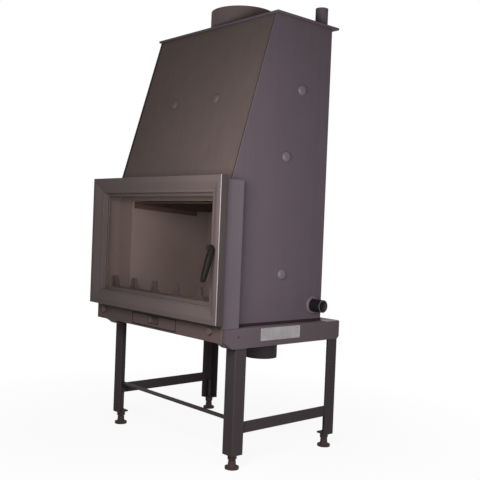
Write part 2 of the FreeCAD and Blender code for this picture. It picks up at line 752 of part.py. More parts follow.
def make_flue_collar():
    """Short round collar for the flue pipe."""
    base = V(0, FLUE_Y, TOP_FACE)
    outer = rod(FLUE_RADIUS + FLUE_WALL, base, Z_AXIS, FLUE_HEIGHT)
    return outer.cut(rod(FLUE_RADIUS, base, Z_AXIS, FLUE_HEIGHT))


def make_flow_pipe():
    """Flow pipe from the corner of the jacket up through the top plate, with its weld collar."""
    base = V(FLOW_X, FLOW_Y, JACKET_TOP - FLOW_DIP)
    length = TOP_FACE + FLOW_RISE - base.z
    weld = rod(FLOW_WELD_RADIUS, V(FLOW_X, FLOW_Y, TOP_FACE), Z_AXIS, FLOW_WELD_HEIGHT)
    pipe = joined(rod(FLOW_RADIUS, base, Z_AXIS, length), [weld])
    return pipe.cut(rod(FLOW_RADIUS - FLOW_WALL, base, Z_AXIS, length))


def make_return_pipe():
    """Return pipe on the right side, of the same tube as the flow pipe."""
    base = V(BODY_HALF, RETURN_Y, RETURN_Z)
    bore = rod(FLOW_RADIUS - FLOW_WALL, base, X_AXIS, RETURN_LENGTH)
    return rod(FLOW_RADIUS, base, X_AXIS, RETURN_LENGTH).cut(bore)


def make_air_spigot():
    """Round duct under the base plate for outside air."""
    base = V(SPIGOT_X, SPIGOT_Y, SPIGOT_BOTTOM)
    length = RAIL_TOP - SPIGOT_BOTTOM
    bore = rod(SPIGOT_RADIUS - SPIGOT_WALL, base, Z_AXIS, length)
    return rod(SPIGOT_RADIUS, base, Z_AXIS, length).cut(bore)


def make_hearth_plate():
    """Floor of the firebox, open for the grate."""
    low = SILL_TOP - HEARTH_THICK
    plate = block(-FIREBOX_HALF, FIREBOX_HALF, RING_FRONT, FIREBOX_REAR, low, SILL_TOP)
    return plate.cut(block(-GRATE_HALF, GRATE_HALF, GRATE_FRONT, GRATE_REAR, low, SILL_TOP))


def make_grate():
    """Cast grate with a rim on the hearth and a row of slots."""
    rim_x = GRATE_HALF + GRATE_RIM
    rim = block(
        -rim_x, rim_x, GRATE_FRONT - GRATE_RIM, GRATE_REAR + GRATE_RIM, SILL_TOP, SILL_TOP + GRATE_RIM_THICK
    )
    half = GRATE_HALF - GRATE_GAP
    low = SILL_TOP - GRATE_DEPTH
    body = block(-half, half, GRATE_FRONT + GRATE_GAP, GRATE_REAR - GRATE_GAP, low, SILL_TOP)
    grate = joined(rim, [body])
    usable = 2 * (half - GRATE_BORDER) - GRATE_SLOT_WIDTH
    slots = []
    for number in range(GRATE_SLOTS):
        x = -half + GRATE_BORDER + usable * number / (GRATE_SLOTS - 1)
        y0 = GRATE_FRONT + GRATE_GAP + GRATE_BORDER
        y1 = GRATE_REAR - GRATE_GAP - GRATE_BORDER
        slots.append(block(x, x + GRATE_SLOT_WIDTH, y0, y1, low, SILL_TOP + GRATE_RIM_THICK))
    return grate.cut(slots)


def make_log_guard():
    """Cast guard with upright posts between round-cornered notches."""
    first = -GUARD_PITCH * (GUARD_POSTS - 1) / 2
    high = SILL_TOP + GUARD_HEIGHT
    y0 = GUARD_Y - GUARD_THICK / 2
    y1 = GUARD_Y + GUARD_THICK / 2
    guard = block(-GUARD_HALF, GUARD_HALF, y0, y1, SILL_TOP, high)
    low = SILL_TOP + GUARD_BAND
    notches = []
    for gap in range(GUARD_POSTS - 1):
        x = first + GUARD_PITCH * (gap + 0.5)
        notch = block(x - GUARD_NOTCH_HALF, x + GUARD_NOTCH_HALF, y0, y1, low, high)
        notches.append(rounded(notch, GUARD_NOTCH_CORNER, lambda c: near(c.z, low) and near(c.y, GUARD_Y)))
    guard = guard.cut(notches)
    tips = [edge for edge in guard.Edges if near(edge.CenterOfMass.z, high)]
    tips = [edge for edge in tips if near(edge.CenterOfMass.y, GUARD_Y)]
    return guard.makeChamfer(GUARD_TIP, tips)


def make_baffle():
    """Baffle under the lintel, falling towards the back, with side flanges on the walls."""
    y0 = MOUTH_REAR + BAFFLE_GAP
    y1 = FIREBOX_REAR - BAFFLE_REAR_GAP
    z0 = LINTEL_Z - BAFFLE_GAP
    z1 = z0 - BAFFLE_DROP
    skirt = BAFFLE_THICK + BAFFLE_FLANGE
    plate = across(
        [(y0, z0), (y1, z1), (y1, z1 - BAFFLE_THICK), (y0, z0 - BAFFLE_THICK)], -FIREBOX_HALF, FIREBOX_HALF
    )
    flange = across(
        [(y0, z0), (y1, z1), (y1, z1 - skirt), (y0, z0 - skirt)], FIREBOX_HALF - BAFFLE_THICK, FIREBOX_HALF
    )
    return joined(plate, [flange, mirrored(flange)])


def make_ash_box():
    """Folded trough under the base plate that carries the ash drawer."""
    low = ASH_BOX_FLOOR - ASH_BOX_SHEET
    under = RAIL_TOP - ASH_BOX_SHEET
    profile = [
        (-ASH_BOX_WIDE, RAIL_TOP),
        (-ASH_BOX_WIDE, under),
        (-ASH_BOX_OUTER, under),
        (-ASH_BOX_OUTER, low),
        (ASH_BOX_OUTER, low),
        (ASH_BOX_OUTER, under),
        (ASH_BOX_WIDE, under),
        (ASH_BOX_WIDE, RAIL_TOP),
        (ASH_BOX_INNER, RAIL_TOP),
        (ASH_BOX_INNER, ASH_BOX_FLOOR),
        (-ASH_BOX_INNER, ASH_BOX_FLOOR),
        (-ASH_BOX_INNER, RAIL_TOP),
    ]
    rear = DRAWER_FACE + TRAY_DEPTH + ASH_BOX_REAR_GAP
    trough = along(profile, APRON_THICK, rear)
    back = block(-ASH_BOX_INNER, ASH_BOX_INNER, rear - ASH_BOX_SHEET, rear, ASH_BOX_FLOOR, RAIL_TOP)
    return joined(trough, [back])


def make_ash_drawer():
    """Shallow tray with a face plate and a recessed pull."""
    face = block(-DRAWER_HALF, DRAWER_HALF, 0, DRAWER_FACE, DRAWER_BOTTOM, DRAWER_TOP)
    rear = DRAWER_FACE + TRAY_DEPTH
    tray = block(-TRAY_HALF, TRAY_HALF, DRAWER_FACE, rear, ASH_BOX_FLOOR, TRAY_TOP)
    inside = TRAY_HALF - TRAY_SHEET
    hollow = block(
        -inside, inside, DRAWER_FACE + TRAY_SHEET, rear - TRAY_SHEET, ASH_BOX_FLOOR + TRAY_SHEET, TRAY_TOP
    )
    pull_bottom = PULL_TOP - PULL_HEIGHT
    pocket = block(
        -PULL_HALF - TRAY_SHEET,
        PULL_HALF + TRAY_SHEET,
        DRAWER_FACE,
        PULL_DEPTH + TRAY_SHEET,
        pull_bottom - TRAY_SHEET,
        PULL_TOP + TRAY_SHEET,
    )
    recess = block(-PULL_HALF, PULL_HALF, 0, PULL_DEPTH, pull_bottom, PULL_TOP)
    return joined(face, [tray.cut(hollow), pocket]).cut(recess)


def make_air_knob():
    """Right air knob with its rod."""
    rod_end = SHUTTER_FRONT + SHUTTER_LENGTH - TAB_THICK - SHUTTER_LAP
    tip = -KNOB_STANDOFF - KNOB_LENGTH
    profile = [
        (0, 0),
        (KNOB_RADIUS, 0),
        (KNOB_RADIUS, KNOB_LENGTH),
        (ROD_RADIUS, KNOB_LENGTH),
        (ROD_RADIUS, rod_end - tip),
        (0, rod_end - tip),
    ]
    return spun(profile, V(KNOB_X, tip, KNOB_Z), Y_AXIS)


def make_air_shutter():
    """Right shutter plate under the base plate, with a tab down to the rod."""
    x0 = shutter_left_edge()
    x1 = x0 + SHUTTER_WIDTH
    low = RAIL_TOP - SHUTTER_THICK
    plate = block(x0, x1, SHUTTER_FRONT, SHUTTER_FRONT + SHUTTER_LENGTH, low, RAIL_TOP)
    lip_room = GUIDE_LIP + SHUTTER_LAP
    under = low - GUIDE_LIP_THICK - 2 * SHUTTER_GAP
    bottom = KNOB_Z - TAB_BELOW_ROD
    profile = [
        (x0 + lip_room, low),
        (x1 - lip_room, low),
        (x1 - lip_room, under),
        (KNOB_X + TAB_BELOW_ROD, under),
        (KNOB_X + TAB_BELOW_ROD, bottom),
        (x0 + lip_room, bottom),
    ]
    tab_rear = SHUTTER_FRONT + SHUTTER_LENGTH - SHUTTER_LAP
    return joined(plate, [along(profile, tab_rear - TAB_THICK, tab_rear)])


def make_shutter_guides():
    """Lipped strips that carry the two shutters."""
    x0 = shutter_left_edge() - SHUTTER_GAP
    x1 = x0 + SHUTTER_WIDTH + 2 * SHUTTER_GAP
    lip_top = RAIL_TOP - SHUTTER_THICK - SHUTTER_GAP
    low = lip_top - GUIDE_LIP_THICK
    rear = SHUTTER_FRONT + SHUTTER_LENGTH
    pieces = []
    for edge, inward in ((x0, 1), (x1, -1)):
        profile = [
            (edge, RAIL_TOP),
            (edge, lip_top),
            (edge + inward * GUIDE_LIP, lip_top),
            (edge + inward * GUIDE_LIP, low),
            (edge - inward * GUIDE_WALL, low),
            (edge - inward * GUIDE_WALL, RAIL_TOP),
        ]
        guide = along(profile, APRON_THICK, rear)
        pieces += [guide, mirrored(guide)]
    return Part.makeCompound(pieces)


def make_door_frame():
    """Cast door frame: ring, bevel, ledge, reveal with a glass lip, rope groove, hinge eyes and boss."""
    slab = door_block(0, DOOR_FRONT, DOOR_REAR)
    slab = rounded(slab, DOOR_EDGE, lambda c: near(c.y, DOOR_FRONT))
    wires = []
    for inset, y in ((RING_WIDTH, DOOR_FRONT), (BEVEL_INSET, DOOR_FRONT + BEVEL_DEPTH)):
        corners = door_rectangle(inset, y)
        wires.append(Part.makePolygon(corners + corners[:1]))
    bevel = Part.makeLoft(wires, True, True)
    reveal = door_block(OPENING_INSET - REVEAL_WALL, DOOR_FRONT + BEVEL_DEPTH, REVEAL_REAR)
    flange = door_block(FLANGE_INSET, REVEAL_REAR - REVEAL_WALL, REVEAL_REAR)
    boss_front = DOOR_FRONT + BOSS_PROUD
    boss = rod(BOSS_RADIUS, V(SPINDLE_X, boss_front, SPINDLE_Z), Y_AXIS, DOOR_REAR - boss_front)
    eyes = []
    bores = []
    for level in HINGE_LEVELS:
        eyes.append(rod(HINGE_RADIUS, V(HINGE_X, HINGE_Y, level), Z_AXIS, HINGE_EYE))
        web = HINGE_RADIUS - REVEAL_WALL / 2
        eyes.append(block(HINGE_X - web, HINGE_X + web, DOOR_REAR, HINGE_Y, level, level + HINGE_EYE))
        bores.append(rod(HINGE_PIN_RADIUS + HINGE_FIT, V(HINGE_X, HINGE_Y, level), Z_AXIS, HINGE_EYE))
    opening = door_block(OPENING_INSET, DOOR_FRONT, REVEAL_REAR - REVEAL_WALL)
    window = door_block(LIP_INSET, DOOR_FRONT, REVEAL_REAR)
    groove = rope_ring(ROPE_WIDTH + 2 * GROOVE_GAP, GROOVE_DEPTH, 0.0)
    spindle_hole = rod(
        SPINDLE_RADIUS + SPINDLE_FIT, V(SPINDLE_X, DOOR_FRONT, SPINDLE_Z), Y_AXIS, DOOR_THICK
    )
    frame = joined(slab.cut(bevel), [reveal, flange, boss] + eyes)
    return frame.cut([opening, window, groove, spindle_hole] + bores)


def rope_ring(width, depth, proud):
    """Rectangular ring over the front edges of the mouth, sunk into the door by a depth."""
    half = MOUTH_HALF - MOUTH_SHEET / 2
    low = SILL_TOP - MOUTH_SHEET / 2
    high = MOUTH_TOP - MOUTH_SHEET / 2
    reach = width / 2
    y0 = DOOR_REAR - depth
    y1 = DOOR_REAR + proud
    outer = block(-half - reach, half + reach, y0, y1, low - reach, high + reach)
    return outer.cut(block(-half + reach, half - reach, y0, y1, low + reach, high - reach))


def make_door_rope():
    """Sealing rope in the groove of the door, resting on the mouth."""
    return rope_ring(ROPE_WIDTH, GROOVE_DEPTH, ROPE_PROUD)


def make_door_glass():
    """Ceramic glass behind the reveal."""
    return door_block(OPENING_INSET - GLASS_LAP, GLASS_FRONT, GLASS_REAR)


def make_glass_tape():
    """Flat sealing tape between the reveal flange and the glass."""
    outer = door_block(OPENING_INSET - GLASS_LAP, REVEAL_REAR, GLASS_FRONT)
    return outer.cut(door_block(OPENING_INSET - GLASS_LAP + TAPE_WIDTH, REVEAL_REAR, GLASS_FRONT))


def clip_profile(edge, outward):
    """Section of a glass clip: over the glass and forward along the flange edge."""
    far = edge + outward * CLIP_SHEET
    near_end = edge - outward * (REVEAL_FLANGE + CLIP_REACH)
    rear = GLASS_REAR + CLIP_SHEET
    front = REVEAL_REAR - REVEAL_WALL
    return [
        (near_end, GLASS_REAR),
        (near_end, rear),
        (far, rear),
        (far, front),
        (edge, front),
        (edge, GLASS_REAR),
    ]


def make_glass_clips():
    """Eight sheet clips that hold the glass to the flange."""
    flange_half = DOOR_HALF - FLANGE_INSET
    low = DOOR_BOTTOM + FLANGE_INSET
    high = DOOR_TOP - FLANGE_INSET
    middle = (low + high) / 2
    pieces = []
    for shift in (-CLIP_SPREAD_Z, CLIP_SPREAD_Z):
        z0 = middle + shift - CLIP_WIDTH / 2
        clip = upward(clip_profile(flange_half, 1), z0, z0 + CLIP_WIDTH)
        pieces += [clip, mirrored(clip)]
    for edge, outward in ((low, -1), (high, 1)):
        for shift in (-CLIP_SPREAD_X, CLIP_SPREAD_X):
            section = [(y, z) for z, y in clip_profile(edge, outward)]
            pieces.append(across(section, shift - CLIP_WIDTH / 2, shift + CLIP_WIDTH / 2))
    return Part.makeCompound(pieces)


def make_hinge_bracket(level):
    """Bracket on the left side of the mouth, with a knuckle and a fixed pin."""
    top = level - HINGE_THRUST_GAP
    low = top - HINGE_KNUCKLE
    knuckle = rod(HINGE_RADIUS, V(HINGE_X, HINGE_Y, low), Z_AXIS, HINGE_KNUCKLE)
    pin = rod(HINGE_PIN_RADIUS, V(HINGE_X, HINGE_Y, low), Z_AXIS, HINGE_KNUCKLE + HINGE_EYE + HINGE_PIN_TIP)
    half = HINGE_PIN_RADIUS
    web = block(HINGE_X, -MOUTH_HALF, HINGE_Y - half, HINGE_Y + half, low, top)
    strap_y = HINGE_Y - half
    strap = block(
        -MOUTH_HALF - MOUTH_SHEET, -MOUTH_HALF, strap_y, strap_y + HINGE_STRAP_LENGTH, low, top
    )
    return joined(knuckle, [pin, web, strap])


def make_handle_lever():
    """Lever: hub on the spindle, a thick neck and a core that carries the grip."""
    hub_base = V(SPINDLE_X, HUB_FRONT, SPINDLE_Z)
    hub = rod(HUB_RADIUS, hub_base, Y_AXIS, HUB_LENGTH)
    profile = [
        (0, -NECK_CAP),
        (NECK_RADIUS, -NECK_CAP),
        (NECK_RADIUS, NECK_LENGTH),
        (GRIP_CORE_RADIUS, NECK_LENGTH),
        (GRIP_CORE_RADIUS, GRIP_LENGTH - GRIP_CORE_SHORT),
        (0, GRIP_LENGTH - GRIP_CORE_SHORT),
    ]
    neck = spun(profile, GRIP_TOP, GRIP_RUN)
    return joined(hub, [neck]).cut(rod(SPINDLE_RADIUS, hub_base, Y_AXIS, HUB_LENGTH))


def make_handle_grip():
    """Turned sleeve on the core of the lever, with a narrower tip."""
    profile = [
        (GRIP_CORE_RADIUS, NECK_LENGTH),
        (GRIP_RADIUS, NECK_LENGTH),
        (GRIP_RADIUS, GRIP_LENGTH - GRIP_TIP),
        (GRIP_TIP_RADIUS, GRIP_LENGTH - GRIP_TIP),
        (GRIP_TIP_RADIUS, GRIP_LENGTH + GRIP_TIP),
        (0, GRIP_LENGTH + GRIP_TIP),
        (0, GRIP_LENGTH - GRIP_CORE_SHORT),
        (GRIP_CORE_RADIUS, GRIP_LENGTH - GRIP_CORE_SHORT),
    ]
    return spun(profile, GRIP_TOP, GRIP_RUN)


def make_latch_spindle():
    """Spindle through the door with a tongue that hangs down beside the keeper."""
    shaft = rod(SPINDLE_RADIUS, V(SPINDLE_X, HUB_FRONT, SPINDLE_Z), Y_AXIS, TONGUE_REAR - HUB_FRONT)
    collar_front = DOOR_REAR + HUB_GAP
    collar = rod(
        TONGUE_HUB_RADIUS, V(SPINDLE_X, collar_front, SPINDLE_Z), Y_AXIS, TONGUE_REAR - collar_front
    )
    tongue = block(
        SPINDLE_X - TONGUE_HALF,
        SPINDLE_X + TONGUE_HALF,
        TONGUE_REAR - TONGUE_THICK,
        TONGUE_REAR,
        SPINDLE_Z - TONGUE_REACH,
        SPINDLE_Z,
    )
    return joined(shaft, [collar, tongue])


def make_latch_keeper():
    """Angle on the right wall of the mouth; its lip stands in front of the turned tongue."""
    lip_rear = TONGUE_REAR - TONGUE_THICK - KEEPER_GAP
    lip_front = lip_rear - KEEPER_THICK
    lip_inner = SPINDLE_X + TONGUE_HUB_RADIUS + KEEPER_GAP
    foot_rear = TONGUE_REAR + KEEPER_HEIGHT
    low = SPINDLE_Z - KEEPER_HEIGHT / 2
    profile = [
        (MOUTH_INNER, lip_front),
        (lip_inner, lip_front),
        (lip_inner, lip_rear),
        (MOUTH_INNER - KEEPER_FOOT, lip_rear),
        (MOUTH_INNER - KEEPER_FOOT, foot_rear),
        (MOUTH_INNER, foot_rear),
    ]
    return upward(profile, low, low + KEEPER_HEIGHT)


CORNERS = {
    "front_left": (-1, False),
    "front_right": (1, False),
    "rear_left": (-1, True),
    "rear_right": (1, True),
}


def make_nodes():
    """Every piece of the insert by name."""
    nodes = {
        "base_plate": make_base_plate(),
        "apron": make_apron(),
        "tie_bar": make_tie_bar(),
        "foot_plates": Part.makeCompound([make_foot_plate(*corner) for corner in CORNERS.values()]),
        "lock_nuts": Part.makeCompound([make_lock_nut(*corner) for corner in CORNERS.values()]),
        "mouth_top": make_mouth_top(),
        "mouth_sill": make_mouth_sill(),
        "jacket_ring": make_jacket_ring(),
        "side_panel_left": mirrored(make_side_panel()),
        "side_panel_right": make_right_panel(),
        "slope_panel": make_slope_panel(),
        "rear_panel": make_rear_panel(),
        "top_plate": make_top_plate(),
        "firebox_back": make_firebox_back(),
        "firebox_slope": make_firebox_slope(),
        "jacket_cap": make_jacket_cap(),
        "flue_collar": make_flue_collar(),
        "flow_pipe": make_flow_pipe(),
        "return_pipe": make_return_pipe(),
        "air_spigot": make_air_spigot(),
        "hearth_plate": make_hearth_plate(),
        "grate": make_grate(),
        "log_guard": make_log_guard(),
        "baffle": make_baffle(),
        "ash_box": make_ash_box(),
        "ash_drawer": make_ash_drawer(),
        "shutter_guides": make_shutter_guides(),
        "door_frame": make_door_frame(),
        "door_rope": make_door_rope(),
        "door_glass": make_door_glass(),
        "glass_tape": make_glass_tape(),
        "glass_clips": make_glass_clips(),
        "hinge_brackets": Part.makeCompound([make_hinge_bracket(level) for level in HINGE_LEVELS]),
        "handle_lever": make_handle_lever(),
        "handle_grip": make_handle_grip(),
        "latch_spindle": make_latch_spindle(),
        "latch_keeper": make_latch_keeper(),
    }
    pairs = {
        "rail": make_rail(),
        "stretcher": make_stretcher(),
        "mouth_side": make_mouth_side(),
        "firebox_wall": make_firebox_wall(),
        "air_knob": make_air_knob(),
        "air_shutter": make_air_shutter(),
    }
    for name, shape in pairs.items():
        nodes[name + "_right"] = shape
        nodes[name + "_left"] = mirrored(shape)
    for name, corner in CORNERS.items():
        nodes["leg_" + name] = make_leg(*corner)
        nodes["foot_" + name] = make_foot(*corner)
    return nodes


os.makedirs("parts", exist_ok=True)
for node, shape in make_nodes().items():
    shape.translate(V(0, -Y_MIDDLE, 0))
    shape.exportStep("parts/" + node + ".step")
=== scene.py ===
import math

import bmesh
import bpy
from bpy.props import FloatProperty, FloatVectorProperty, IntProperty, PointerProperty
from mathutils import Matrix, Vector


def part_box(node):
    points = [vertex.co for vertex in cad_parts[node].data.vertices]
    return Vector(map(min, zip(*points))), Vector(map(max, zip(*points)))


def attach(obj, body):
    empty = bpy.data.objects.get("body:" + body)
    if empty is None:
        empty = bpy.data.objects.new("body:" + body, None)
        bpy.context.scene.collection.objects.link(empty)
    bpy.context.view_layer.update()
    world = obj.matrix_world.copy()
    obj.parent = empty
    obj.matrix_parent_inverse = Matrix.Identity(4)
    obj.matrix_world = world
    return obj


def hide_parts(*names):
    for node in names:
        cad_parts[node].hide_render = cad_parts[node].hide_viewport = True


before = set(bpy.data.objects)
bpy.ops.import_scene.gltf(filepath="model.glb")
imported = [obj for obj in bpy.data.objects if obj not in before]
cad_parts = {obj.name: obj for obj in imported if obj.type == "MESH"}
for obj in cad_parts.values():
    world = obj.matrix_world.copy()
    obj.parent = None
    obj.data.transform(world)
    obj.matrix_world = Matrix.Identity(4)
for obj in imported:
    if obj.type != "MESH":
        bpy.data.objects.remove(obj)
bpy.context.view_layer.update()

bl_info = {
    "name": "Fireplace insert",
    "version": (1, 0, 0),
    "blender": (4, 5, 0),
    "location": "View3D > Sidebar > Insert",
    "description": "Finishes, welds, seals, small pieces and stage of a steel fireplace insert",
    "category": "Object",
}

# Corners of the solids that other pieces are set against, in metres
_, BODY_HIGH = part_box("rear_panel")
SIDE_LOW, SIDE_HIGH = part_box("side_panel_right")
_, MOUTH_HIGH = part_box("mouth_side_right")
RAIL_LOW, RAIL_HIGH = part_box("rail_right")
_, TOP_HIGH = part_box("top_plate")
FLUE_LOW, FLUE_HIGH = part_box("flue_collar")
FLOW_LOW, FLOW_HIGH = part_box("flow_pipe")
RETURN_LOW, RETURN_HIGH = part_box("return_pipe")
DOOR_LOW, DOOR_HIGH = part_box("door_frame")
DRAWER_LOW, DRAWER_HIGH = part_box("ash_drawer")
ROPE_LOW, ROPE_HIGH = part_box("door_rope")
TAPE_LOW, TAPE_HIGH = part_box("glass_tape")

# Places that no box gives. Depths are those of the drawing, and FRONT_SHIFT moves them into the frame.
RAIL_REAR = 0.601
FRONT_SHIFT = RAIL_HIGH.y - RAIL_REAR
PANEL_FACE = 0.350
MOUTH_LINING = 0.3815
SLOPE_LEAN = 180.0 / 609.0
SLOPE_FOOT_Y, SLOPE_FOOT_Z = 0.048, 1.004
SLOPE_RECESS = 0.003
FAR = 1.0
PULL_LOW = Vector((-0.0282, -FAR, 0.4693))
PULL_HIGH = Vector((0.0282, FAR, 0.4927))

# Stay heads: (depth, height) on the sides, places on the slope, and the curve in shares of radius and height
SIDE_HEADS = ((0.305, 0.674), (0.305, 1.105), (0.373, 1.357))
HEAD_SPREAD = 0.129
SLOPE_HEAD_Z = 1.317
HEAD_SINK = 0.0004
HEAD_STEPS = 36
HEAD_CURVE = ((0.985, 0.22), (0.93, 0.50), (0.83, 0.72), (0.62, 0.90), (0.32, 0.98), (0.0, 1.0))

# Weld beads, and the beads of painted shade along the seams
BEAD_SIDES = 8
RIPPLE_WAIST = 0.84
BEAD_TIP = 0.35
STITCHES = 9
STITCH_START, STITCH_PITCH, STITCH_LENGTH, STITCH_INSET = 0.03, 0.125, 0.04, 0.004
TACK_START, TACK_END = 0.006, 0.016
SLOPE_SEAM_INSET = 0.005
FOOT_SEAM_START = 0.02
LEG_BEAD_INSET = 0.004

# Seals
ROPE_RADIUS = 0.005
ROPE_BEND = 0.0065
BEND_STEPS = 5
LAY_STEPS = 12
LOBE_POINTS = 5
LOBE_WAIST = 0.84
TAPE_WIDTH = 0.006

# Grip: its top, its run, and its curve as (radius, share of the run, offset)
GRIP_TOP = Vector((0.381, FRONT_SHIFT - 0.056, 0.767))
GRIP_RUN = Vector((0.004, -0.036, -0.105))
GRIP_STEPS = 24
GRIP_CURVE = (
    (0.0, 0.0, -0.0070),
    (0.0062, 0.0, -0.0068),
    (0.0106, 0.0, -0.0045),
    (0.0114, 0.0, 0.004),
    (0.0130, 0.20, 0.0),
    (0.0132, 0.40, 0.0),
    (0.0120, 0.64, 0.0),
    (0.0102, 0.87, 0.0),
    (0.0090, 0.985, 0.0),
    (0.0062, 1.0, 0.0042),
    (0.0, 1.0, 0.0058),
)

# Bare plate and its rivets
PLATE_Y, PLATE_Z = 0.2800 + FRONT_SHIFT, 0.466
PLATE_CORNER, PLATE_RIM, PLATE_STEP = 0.003, 0.0022, 0.0004
RIVET_INSET, RIVET_SINK, RIVET_STEPS = 0.006, 0.0002, 16
RIVET_CURVE = ((0.9, 0.35), (0.55, 0.62), (0.0, 0.72))

# Levelling feet: chamfer of the nuts in shares, and the outside of the necks as (radius, height)
NUT_FLAT, NUT_CHAMFER = 0.87, 0.1
NECK_STEPS = 32
NECK_LOW, NECK_HIGH = 0.0075, 0.0310
NECK_CURVE = (
    (0.0190, NECK_LOW),
    (0.0165, 0.0095),
    (0.0148, 0.0130),
    (0.0140, 0.0180),
    (0.0136, 0.0265),
    (0.0124, 0.0305),
)
THREAD_ROOT, THREAD_START, THREAD_STEPS = 0.0079, 0.0300, 20

# Edges that turn more than SHARP_TURN stay sharp, and points nearer than TOUCH count as one
SHARP_TURN = math.radians(65)
TOUCH = 1e-6

# Lamps: name of the lamp and of its power, place, target, side and colour
LAMPS = (
    ("side_lamp", (2.2, -0.6, 0.7), (0.3, 0.0, 0.6), 1.2, (1.0, 0.98, 1.0)),
    ("front_lamp", (0.82, -1.0, 1.02), (0.1, 0.0, 0.85), 0.5, (1.0, 0.98, 0.97)),
)
WHITE = (1.0, 1.0, 1.0, 1.0)
FLOOR_GREY = (0.30, 0.30, 0.30, 1.0)
FLOOR_PALE = (0.9, 0.9, 0.9, 1.0)
SKY_TINT = (1.0, 0.98, 1.0, 1.0)

CORNERS = ("front_left", "front_right", "rear_left", "rear_right")
BODY_NODES = ("side_panel_left", "side_panel_right", "rear_panel", "top_plate", "flow_pipe", "mouth_top")
RAIL_NODES = ("rail_left", "rail_right")
MOUTH_NODES = ("mouth_side_left", "mouth_side_right")
FIREBOX_NODES = ("mouth_sill", "jacket_ring", "firebox_back", "hearth_plate", "latch_keeper")
FIREBOX_WALLS = ("firebox_wall_left", "firebox_wall_right")
FIREBOX_TOP_NODES = ("firebox_slope", "jacket_cap")
STRETCHERS = ("stretcher_left", "stretcher_right")
STAND_NODES = (*STRETCHERS, "tie_bar", "foot_plates", "air_spigot", "ash_box", "hinge_brackets")
ZINC_NODES = ("air_shutter_left", "air_shutter_right", "shutter_guides", "glass_clips")


def colour(name, description, default):
    """Colour that a user can change."""
    return FloatVectorProperty(
        name=name, description=description, subtype="COLOR", size=3, min=0.0, max=1.0, default=default
    )


def length(name, description, default):
    """Length that a user can change."""
    return FloatProperty(
        name=name, description=description, unit="LENGTH", min=0.0, precision=4, default=default
    )


def number(name, description, default):
    """Count that a user can change."""
    return IntProperty(name=name, description=description, min=2, default=default)


def measure(name, description, default, unit):
    """Value with a unit that a user can change."""
    return FloatProperty(name=name, description=description, unit=unit, default=default)


class InsertColours(bpy.types.PropertyGroup):
    # Painted light: the sides and the slope are one paint; the purple cast of the body tint and the browner
    # slope tint paint in the colour of the light on each face
    body: colour("Body paint", "Matte paint on the sides and the mouth", (0.088, 0.068, 0.081))
    slope: colour("Slope paint", "Matte paint on the sloped front", (0.101, 0.076, 0.071))
    mouth: colour("Mouth paint", "Matte paint on the sides of the mouth", (0.098, 0.078, 0.091))
    collar: colour("Collar paint", "Matte paint on the flue collar", (0.115, 0.088, 0.086))
    rail: colour("Rail paint", "Matte paint on the rails", (0.084, 0.066, 0.074))
    # Partly painted shade: the stand's paint is made darker still, for the shade on the legs and bars under
    # the body
    stand: colour("Stand paint", "Dark paint on legs and bars", (0.043, 0.034, 0.037))
    front: colour("Front paint", "Paint on the apron and the ash drawer", (0.090, 0.063, 0.061))
    # Painted light: the pull's recess is painted lighter than the front, against the shade that falls in it
    pull: colour("Lightened pull", "Paint inside the recessed pull of the drawer", (0.130, 0.094, 0.090))
    door: colour("Door paint", "Paint on the front of the door frame", (0.096, 0.074, 0.073))
    # Painted shade: the outer side faces of the door frame get this darker colour, for the shade that falls
    # on them
    door_side_shade: colour("Door side shade", "Darker paint on the outer edge of the door frame", (0.044, 0.035, 0.036))
    # Painted highlight: a light strip down the right edge of the door's front, where the light from the right
    # catches the edge
    door_right_highlight: colour("Edge highlight", "Paint rubbed thin on the closing edge of the door", (0.260, 0.240, 0.245))
    # Painted light: the firebox steel is painted lighter than the real steel, against the shade inside the
    # closed firebox
    firebox: colour("Lightened firebox steel", "Brown-grey steel inside the mouth", (0.205, 0.158, 0.148))
    # Painted light and shade: steel of the firebox top and the mouth's inner faces, lighter than the real
    # steel against the firebox's shade, darker than the lower firebox for the shaded top
    firebox_top_lit_and_shaded: colour("Firebox top, lit and shaded", "Darker steel in the top of the firebox", (0.140, 0.108, 0.101))
    # Painted shade: deep brown on the baffle, for the shadow on its underside
    soot: colour("Baffle shade", "Brown soot on the baffle", (0.085, 0.046, 0.038))
    iron: colour("Cast iron", "Grate and log guard", (0.082, 0.062, 0.060))
    zinc: colour("Zinc", "Dull zinc on clips and air slides", (0.36, 0.35, 0.34))
    black: colour("Black", "Glossy black of the grip", (0.008, 0.006, 0.006))
    socket: colour("Pipe black", "Black of the return pipe and the lever", (0.010, 0.009, 0.009))
    cut: colour("Cut steel", "Bare cut end of the return pipe", (0.110, 0.100, 0.100))
    bore: colour("Pipe bore", "Grey scale inside the return pipe", (0.050, 0.045, 0.044))
    foot: colour("Foot paint", "Reddish-brown paint on the feet and nuts", (0.047, 0.031, 0.030))
    # Painted reflection: light colour on the top of the shelf behind the body, for its sheen at a grazing
    # view
    shelf: colour("Shelf sheen", "Paint on the shelf behind the body", (0.420, 0.380, 0.400))
    seal: colour("Seal fibre", "Twisted rope and woven tape", (0.085, 0.080, 0.076))
    # Painted highlight: the body paint made lighter and glossier on the domed stay heads, so that they catch
    # the light
    head: colour("Head highlight", "Paint on the domed heads of the stays", (0.104, 0.083, 0.094))
    # Painted shade: a near-black colour for the shadow lines between the sheets, round the drawer and its
    # pull, and on the base plate
    seam: colour("Seam", "Dark seams between the sheets", (0.016, 0.011, 0.012))
    weld: colour("Weld metal", "Painted weld beads", (0.120, 0.096, 0.106))
    plate: colour("Plate", "Bare metal plate on the rail", (0.30, 0.28, 0.29))
    glass: colour("Glass", "Clear ceramic glass", (0.93, 0.91, 0.90))


